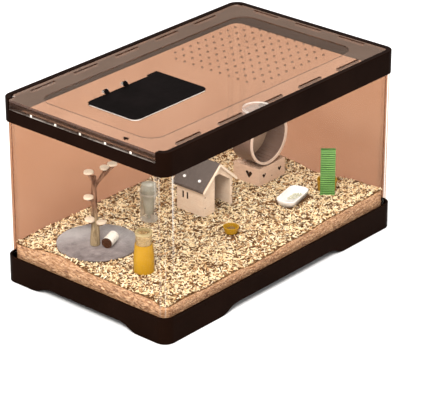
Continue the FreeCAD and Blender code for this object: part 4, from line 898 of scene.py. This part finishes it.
# start height on the trunk, bearing in degrees, reach, rise and thickness, as the frame's tree has them
BRANCHES = (
    (116, 140, 8, 14, 2.6), (104, -25, 20, 30, 2.4), (110, -62, 33, 38, 2.8),
    (84, 187, 15, 5, 2.2), (42, 191, 15, 6, 2.2), (36, -88, 15, 5, 2.2),
)
PEG = 3.4
# where the tree stands, its trunk and butt, its sawn slices, and how finely its wood is joined
TREE_FOOT = (-213.5 * MM, 56 * MM)
TRUNK_TALL, BUTT_REACH = 128 * MM, Vector((1, -1, 46))
SLICE_TOP, SLICE_FOOT, SLICE_THICK = 8.0 * MM, 8.6 * MM, 4 * MM
SLICE_EDGE, SLICE_LEAN = 0.8 * MM, 0.08
TREE_GRAIN = 0.9 * MM


def branch_ends(foot):
    """Where each branch starts, where it ends, and its thickness."""
    for height, bearing, reach, rise, thick in BRANCHES:
        angle = math.radians(bearing)
        start = foot + Vector((0, 0, height)) * MM
        way = Vector((reach * math.cos(angle), reach * math.sin(angle), rise))
        yield start, start + way * MM, thick


def branch_tree(foot):
    """A gnarled trunk with its thick butt, its branches, and a peg at each branch's end."""
    bm = bmesh.new()
    limb(bm, foot, foot + Vector((0, 0, TRUNK_TALL)), 6.6 * MM, 4.0 * MM, 1.2 * MM)
    limb(bm, foot, foot + BUTT_REACH * MM, 8.6 * MM, 6.4 * MM, 1.0 * MM)
    for start, end, thick in branch_ends(foot):
        limb(bm, start, end, thick * 1.15 * MM, thick * 0.9 * MM, 0.6 * MM)
        peg_low, peg_high = end - Vector((0, 0, 1)) * MM, end + Vector((0, 0, PEG)) * MM
        limb(bm, peg_low, peg_high, thick * MM, thick * MM, 0.2 * MM)
    bm = evaluated(bm, "tree_rough", [("REMESH", {"mode": "VOXEL", "voxel_size": TREE_GRAIN})])
    bmesh.ops.smooth_vert(bm, verts=bm.verts, factor=0.5, use_axis_x=True, use_axis_y=True, use_axis_z=True)
    tree = piece_from(bm, "branch_tree", MATERIALS["bark"], "base")
    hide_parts("climbing_tree")


def tree_slices(foot):
    """The sawn slices, each leaning a little its own way on its peg."""
    bm = bmesh.new()
    for index, (_, end, _) in enumerate(branch_ends(foot)):
        middle = end + Vector((0, 0, PEG * MM + SLICE_THICK / 2))
        lean = Matrix.Rotation(SLICE_LEAN * math.sin(index * 2.1), 4, "X")
        made = bmesh.ops.create_cone(
            bm, cap_ends=True, segments=28, radius1=SLICE_FOOT, radius2=SLICE_TOP, depth=SLICE_THICK,
            matrix=Matrix.Translation(middle) @ lean,
        )
        for vert in made["verts"]:
            vert.co += noise.noise_vector(Vector((vert.co.x, vert.co.y, index)) * 90) * 0.7 * MM
        level = [e for e in edges_of(made) if climb_of(e) < SLICE_THICK * 0.375]
        soften(bm, level, SLICE_EDGE, 2)
    slices = piece_from(bm, "tree_slices", MATERIALS["slice"], "base")
    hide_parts("tree_steps")


def climbing_tree():
    """A gnarled branch standing on the mat, with a sawn slice at the end of each limb."""
    foot = Vector((*TREE_FOOT, node_box("climbing_tree")[0].z))
    branch_tree(foot)
    tree_slices(foot)


# ---- dish, seeds and small trim ----


DISH_LONG, DISH_WIDE, DISH_TALL = 73.4 * MM, 37.4 * MM, 10.4 * MM
DISH_ROUND, DISH_RIM, DISH_SLOPE, DISH_DEEP = 12.5 * MM, 2.4 * MM, 3.0 * MM, 7.2 * MM
DISH_FOOT_X, DISH_FOOT_Y, DISH_RISE = 0.93, 0.88, 5.3 * MM
DISH_TURN = math.radians(14)


def food_dish():
    """A shallow glazed tray with flared sides and a round rim."""
    low, _, middle = box_and_middle("food_dish")
    bm = bmesh.new()
    bmesh.ops.create_cube(bm, size=1.0)
    bmesh.ops.scale(bm, verts=bm.verts, vec=(DISH_LONG, DISH_WIDE, DISH_TALL))
    upright = [e for e in bm.edges if climb_of(e) > DISH_TALL / 2]
    soften(bm, upright, DISH_ROUND, 9)
    for vert in bm.verts:
        if vert.co.z < 0:
            vert.co.x *= DISH_FOOT_X
            vert.co.y *= DISH_FOOT_Y
    top = max((f for f in bm.faces if f.normal.z > 0.9), key=lambda f: f.calc_area())
    bmesh.ops.inset_region(bm, faces=[top], thickness=DISH_RIM, use_even_offset=True)
    bmesh.ops.inset_region(bm, faces=[top], thickness=DISH_SLOPE, depth=-DISH_DEEP, use_even_offset=True)
    rim = [e for e in bm.edges if all(v.co.z > DISH_TALL / 2 - 0.3 * MM for v in e.verts)]
    soften(bm, rim, 0.9 * MM, 3)
    place = Matrix.Translation((middle.x, middle.y, low.z + DISH_RISE))
    bmesh.ops.transform(bm, verts=bm.verts, matrix=place @ Matrix.Rotation(DISH_TURN, 4, "Z"))
    bmesh.ops.recalc_face_normals(bm, faces=bm.faces)
    dish = piece_from(bm, "glazed_dish", MATERIALS["white"], "base")
    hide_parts("food_dish")


SEED_LENGTHS, SEED_WIDE, SEED_THICK = (1.6, 2.4), 1.2 * MM, 0.9 * MM


def seed_heap(name, middle, spread, count, seed, tall, finish="seed"):
    """A small heap of seeds, highest in the middle."""
    rng = random.Random(seed)
    bm = bmesh.new()
    for _ in range(count):
        far, bearing = math.sqrt(rng.random()), rng.uniform(0, 2 * math.pi)
        x = middle.x + spread[0] * far * math.cos(bearing)
        y = middle.y + spread[1] * far * math.sin(bearing)
        z = middle.z + tall * (1 - far * far) * rng.uniform(0.5, 1)
        yaw, tilt = rng.uniform(0, 6.3), rng.uniform(-0.6, 0.6)
        turn = Matrix.Rotation(yaw, 4, "Z") @ Matrix.Rotation(tilt, 4, "Y")
        shape = Matrix.Diagonal((rng.uniform(*SEED_LENGTHS) * MM, SEED_WIDE, SEED_THICK, 1))
        place = Matrix.Translation((x, y, z)) @ turn @ shape
        bmesh.ops.create_icosphere(bm, subdivisions=1, radius=1.0, matrix=place)
    return piece_from(bm, name, MATERIALS[finish], "base")


def seeds():
    """The seeds in the dish, the pot and the small tub."""
    low, _, middle = box_and_middle("food_dish")
    lying = Vector((middle.x + 6 * MM, middle.y, low.z + 4.0 * MM))
    seed_heap("dish_seeds", lying, (17 * MM, 7 * MM), 60, 11, 1.8 * MM, "pale_seed")
    _, high, middle = box_and_middle("treat_pot")
    lying = Vector((middle.x, middle.y, high.z - 1 * MM))
    seed_heap("pot_seeds", lying, (9 * MM, 9 * MM), 120, 12, 9 * MM)
    low, _, middle = box_and_middle("small_tub")
    lying = Vector((middle.x, middle.y, low.z + 5 * MM))
    seed_heap("tub_seeds", lying, (8 * MM, 8 * MM), 70, 13, 4 * MM)


DOWEL_HEIGHTS, DOWEL_INS = (16 * MM, 36 * MM), (4 * MM, 2.4 * MM)
DOWEL_ROOT, DOWEL_TIP, DOWEL_LONG, DOWEL_PROUD = 1.3 * MM, 1.1 * MM, 0.5 * MM, 0.05 * MM


def dowel_ends():
    """Dark dowel ends where the house's front is pinned to its sides."""
    low, high = node_box("house_front")
    bm = bmesh.new()
    for z in DOWEL_HEIGHTS:
        for x in (low.x + DOWEL_INS[0], high.x - DOWEL_INS[1]):
            at = Matrix.Translation((x, low.y - DOWEL_PROUD, low.z + z))
            made = bmesh.ops.create_cone(
                bm, cap_ends=True, segments=16, radius1=DOWEL_ROOT, radius2=DOWEL_TIP, depth=DOWEL_LONG,
                matrix=at @ Matrix.Rotation(math.pi / 2, 4, "X"),
            )
            soften(bm, edges_of(made), 0.1 * MM, 1)
    piece_from(bm, "house_dowels", MATERIALS["dowel"], "base")


def board(bm, place, size, edge):
    """A thin box of a size, placed by a matrix, with softened edges."""
    made = bmesh.ops.create_cube(bm, size=1.0, matrix=place @ Matrix.Diagonal((*size, 1)))
    soften(bm, edges_of(made), edge, 1)


def plate(bm, low, high):
    """A thin plate with softened edges between two corners."""
    size = high - low
    board(bm, Matrix.Translation((low + high) / 2), size, min(size) * 0.2)


# the plates of painted shade behind the house's slits and the stand's hearts: their depth in the board,
# their thickness, and where they lie
SHADE_SUNK, SHADE_THICK = 0.7 * MM, 0.5 * MM
SLITS_LOW, SLITS_HIGH, SLITS_FRONT, SLITS_BACK = 20 * MM, 42 * MM, 20 * MM, 8 * MM
STAND_EDGE = 4 * MM


def shade_plates():
    """Near-black plates let into the boards behind the house's window slits and the stand's hearts: painted
    shade, so the openings look dark.
    """
    inner = SHADE_SUNK + SHADE_THICK
    low, high = node_box("house_side_left")
    bm = bmesh.new()
    plate(bm, Vector((low.x + SHADE_SUNK, low.y + SLITS_FRONT, low.z + SLITS_LOW)),
          Vector((low.x + inner, high.y - SLITS_BACK, low.z + SLITS_HIGH)))
    low, high = node_box("wheel_stand")
    plate(bm, Vector((low.x + SHADE_SUNK, low.y + STAND_EDGE, low.z + STAND_EDGE)),
          Vector((low.x + inner, high.y - STAND_EDGE, high.z - STAND_EDGE)))
    plate(bm, Vector((low.x + STAND_EDGE, low.y + SHADE_SUNK, low.z + STAND_EDGE)),
          Vector((high.x - STAND_EDGE, low.y + inner, high.z - STAND_EDGE)))
    piece_from(bm, "shade_plates", MATERIALS["dark"], "base", smooth=False)


BARGE_THICK, BARGE_TALL, BARGE_PROUD, BARGE_DROP = 2.2 * MM, 3.6 * MM, 0.3 * MM, 2.4 * MM


def barge_boards():
    """Pale edging along the front ends of the two roof boards."""
    left_low, left_high = node_box("roof_left")
    right_low, right_high = node_box("roof_right")
    ridge_x, ridge_z = (left_low.x + right_high.x) / 2, left_high.z
    bm = bmesh.new()
    for side, eave_x, eave_z in ((-1, left_low.x, left_low.z), (1, right_high.x, right_low.z)):
        run, rise = abs(ridge_x - eave_x), ridge_z - eave_z - BARGE_THICK
        middle = Vector((
            (ridge_x + eave_x) / 2, left_low.y - BARGE_PROUD, (eave_z + ridge_z) / 2 - BARGE_DROP,
        ))
        slope = Matrix.Rotation(math.atan2(rise, run) * side, 4, "Y")
        size = Vector((math.hypot(run, rise) - 2 * MM, BARGE_THICK, BARGE_TALL))
        board(bm, Matrix.Translation(middle) @ slope, size, 0.4 * MM)
    piece_from(bm, "barge_boards", MATERIALS["barge"], "base", smooth=False)


LIP_GAP, LIP_WIDE, LIP_PROUD = 1.0 * MM, 1.3 * MM, 0.9 * MM
LIP_BACK, LIP_ROUND = 59.5 * MM, 12 * MM


def hatch_lip():
    """The lid's thin clear lip along the front and left of the hatch's seat, its edges painted with
    highlights.
    """
    low, high = node_box("hatch_door")
    floor, crest = SUNK_TOP, SUNK_TOP + LIP_PROUD
    x0, y0 = low.x - LIP_GAP - LIP_WIDE, low.y - LIP_GAP - LIP_WIDE
    bm = bmesh.new()
    plate(bm, Vector((x0 + LIP_ROUND, y0, floor)), Vector((high.x - LIP_ROUND, y0 + LIP_WIDE, crest)))
    plate(bm, Vector((x0, y0 + LIP_ROUND, floor)), Vector((x0 + LIP_WIDE, LIP_BACK - LIP_ROUND, crest)))
    corner = bmesh.new()
    section(corner, LIP_WIDE, LIP_PROUD, LIP_WIDE / 2 - LIP_ROUND)
    quarter_turn(corner, 8)
    bmesh.ops.translate(corner, verts=corner.verts, vec=(x0 + LIP_ROUND, y0 + LIP_ROUND, floor))
    bmesh.ops.recalc_face_normals(corner, faces=corner.faces)
    join(bm, corner)
    piece_from(bm, "hatch_lip", MATERIALS["lip"], "lid", smooth=False)


# ---- stage, lights and camera ----


# where the lights and the view aim, the view's direction, and its shifts along its own axes
AIM = (0, 0, 0.15)
VIEW_BEARING, VIEW_RISE = math.radians(-48.9), math.radians(25.5)
VIEW_FAR, VIEW_RIGHT, VIEW_DOWN = 4.0509, 0.0162, 0.0594
LENS = 198.6
SKY_STRENGTH, KEY_POWER, TOP_POWER = 0.85, 118, 42


def look_at(thing, where, target):
    """Stand a light somewhere, turned towards a target."""
    thing.location = where
    thing.rotation_euler = (Vector(target) - Vector(where)).to_track_quat("-Z", "Y").to_euler()


def area_light(name, where, size, power, colour=(1, 1, 1)):
    """A rectangular light aimed at the cage."""
    lamp = bpy.data.lights.new(name, "AREA")
    lamp.shape = "RECTANGLE"
    lamp.size, lamp.size_y = size
    lamp.energy = power
    lamp.color = colour
    holder = bpy.data.objects.new(name, lamp)
    bpy.context.scene.collection.objects.link(holder)
    look_at(holder, where, AIM)


def studio():
    """The pale floor, the even sky and two soft lights."""
    bm = bmesh.new()
    bmesh.ops.create_grid(bm, x_segments=1, y_segments=1, size=12.0)
    mesh = bpy.data.meshes.new("floor")
    bm.to_mesh(mesh)
    bm.free()
    f = Finish("pale_floor")
    tone = f.ramp(f.noise(2, 2), (0.3, (0.90, 0.90, 0.90)), (0.7, (0.93, 0.93, 0.93)))
    mesh.materials.append(f.opaque(tone, 0.9, specular=0.0))
    floor = bpy.data.objects.new("floor", mesh)
    bpy.context.scene.collection.objects.link(floor)

    world = bpy.data.worlds.new("studio")
    world.use_nodes = True
    sky = world.node_tree.nodes["Background"]
    sky.inputs["Color"].default_value = (1.0, 0.99, 0.98, 1)
    sky.inputs["Strength"].default_value = SKY_STRENGTH
    bpy.context.scene.world = world
    area_light("key", (-2.0, -1.2, 2.4), (1.2, 1.2), KEY_POWER, (1.0, 0.975, 0.95))
    area_light("top", (0.3, 0.3, 2.4), (1.8, 1.4), TOP_POWER)
    bpy.context.scene.view_settings.view_transform = "Standard"


def camera():
    """The view: from the front left, a little above, through a long lens."""
    aside, ahead, level = math.sin(VIEW_BEARING), math.cos(VIEW_BEARING), math.cos(VIEW_RISE)
    back = Vector((aside * level, -ahead * level, math.sin(VIEW_RISE)))
    right = Vector((ahead, aside, 0))
    up = right.cross(-back)
    view = bpy.data.cameras.new("view")
    view.lens = LENS
    view.sensor_width = 36
    view.clip_end = 100
    holder = bpy.data.objects.new("view", view)
    bpy.context.scene.collection.objects.link(holder)
    holder.location = Vector(AIM) + back * VIEW_FAR + right * VIEW_RIGHT - up * VIEW_DOWN
    holder.rotation_euler = (-back).to_track_quat("-Z", "Y").to_euler()
    bpy.context.scene.camera = holder


MATERIALS = {
    "black": black_moulding(),
    "hatch": hatch_black(),
    "rubber": rubber(),
    "clear": pane("clear_pane", (0.995, 0.985, 0.975), (0.985, 0.965, 0.950), gloss=0.06),
    "copper": pane("copper_pane", (0.634, 0.462, 0.360), (0.600, 0.426, 0.324), gloss=0.10),
    "strip": corner_finish("strip_clear", (0.945, 0.905, 0.86), (0.995, 0.985, 0.97), 0.38),
    "strip_far": corner_finish("strip_copper", (0.585, 0.420, 0.320), (0.642, 0.466, 0.362), 0.03),
    "lid": lid_sheet(),
    "rail": lid_rail(),
    "grip": bright_clear("grip_clear", 0.65),
    "ear": bright_clear("ear_clear", 0.15),
    "lip": bright_clear("lip_clear", 0.75),
    "shavings": shavings(),
    "bed": shavings_bed(),
    "pressed": side_flakes_shaded(),
    "felt": felt(),
    "bark": bark(),
    "slice": cut_wood(),
    "house": plywood("house_ply", (0.86, 0.66, 0.50), (0.97, 0.82, 0.66), (0.40, 0.25, 0.14)),
    "barge": plywood("barge_ply", (0.90, 0.74, 0.58), (0.98, 0.86, 0.72), (0.85, 0.68, 0.52)),
    "stand": plywood("stand_ply", (0.70, 0.49, 0.36), (0.88, 0.66, 0.51), (0.32, 0.18, 0.10)),
    "roof": roof_board(),
    "white": plastic("white_glaze", (0.86, 0.86, 0.84), (0.92, 0.92, 0.91), 0.16, 0.04),
    "cap": plastic("cap_white", (0.88, 0.87, 0.85), (0.94, 0.93, 0.92), 0.3),
    "yellow": plastic("yellow_plastic", (0.40, 0.215, 0.012), (0.50, 0.285, 0.020), 0.3, specular=0.12),
    "ring": plastic("ring_olive", (0.30, 0.23, 0.10), (0.44, 0.35, 0.18), 0.3),
    "green": ladder_green(),
    "seed": plastic("seed_mix", (0.20, 0.11, 0.04), (0.46, 0.36, 0.13), 0.6, 0.5, 0.2),
    "pale_seed": plastic("pale_seed", (0.50, 0.50, 0.36), (0.74, 0.74, 0.60), 0.6, 0.5, 0.2),
    # painted shade: the near-black plates behind the house's slits and the stand's hearts
    "dark": plastic("inner_shade", (0.020, 0.010, 0.006), (0.045, 0.022, 0.013), 0.8, 0.3, 0.1),
    "dowel": plastic("dowel_dark", (0.16, 0.09, 0.05), (0.24, 0.14, 0.08), 0.6, 0.4, 0.2),
    "wheel": wheel_plastic(),
    "sleeve": smoked("sleeve_clear", (0.50, 0.34, 0.14), (0.72, 0.54, 0.28), 0.38),
    "bottle": smoked("bottle_smoke", (0.33, 0.32, 0.26), (0.50, 0.49, 0.41), 0.75),
    "foot": smoked("foot_smoke", (0.50, 0.46, 0.38), (0.72, 0.68, 0.60), 0.5),
    "steel": steel(),
    "log": log_bark(),
}

FINISHED = {
    "black": ("base_tray", "top_frame", "lid_catch"),
    "hatch": ("hatch_door",),
    "rubber": ("foot_pads",),
    "clear": ("panel_front", "panel_left"),
    "copper": ("panel_back", "panel_right"),
    "lid": ("lid_panel",),
    "rail": ("lid_end_rail",),
    "grip": ("finger_grip",),
    "ear": ("hatch_hinge_ears",),
    "house": ("house_front", "house_back", "house_side_left", "house_side_right"),
    "stand": ("wheel_stand", "wheel_upright"),
    "roof": ("roof_left", "roof_right"),
    "cap": ("roof_pins", "wheel_spacer"),
    "foot": ("bottle_stand",),
    "wheel": ("wheel_drum", "wheel_end_cap"),
    "yellow": ("treat_pot", "small_tub", "large_tub"),
    "sleeve": ("pot_sleeve",),
    "ring": ("pot_ring",),
    "green": ("chew_ladder",),
    "bottle": ("water_bottle",),
    "steel": ("wheel_axle", "axle_nut", "hatch_hinge_pins", "lid_pivot_pins"),
    "log": ("gnaw_log",),
}
for finish, names in FINISHED.items():
    paint(MATERIALS[finish], names)

lay_shavings()
for end in ("front", "back"):
    for side in ("left", "right"):
        corner_strip(end, side)
felt_mat()
climbing_tree()
food_dish()
seeds()
dowel_ends()
shade_plates()
barge_boards()
hatch_lip()
studio()
camera()
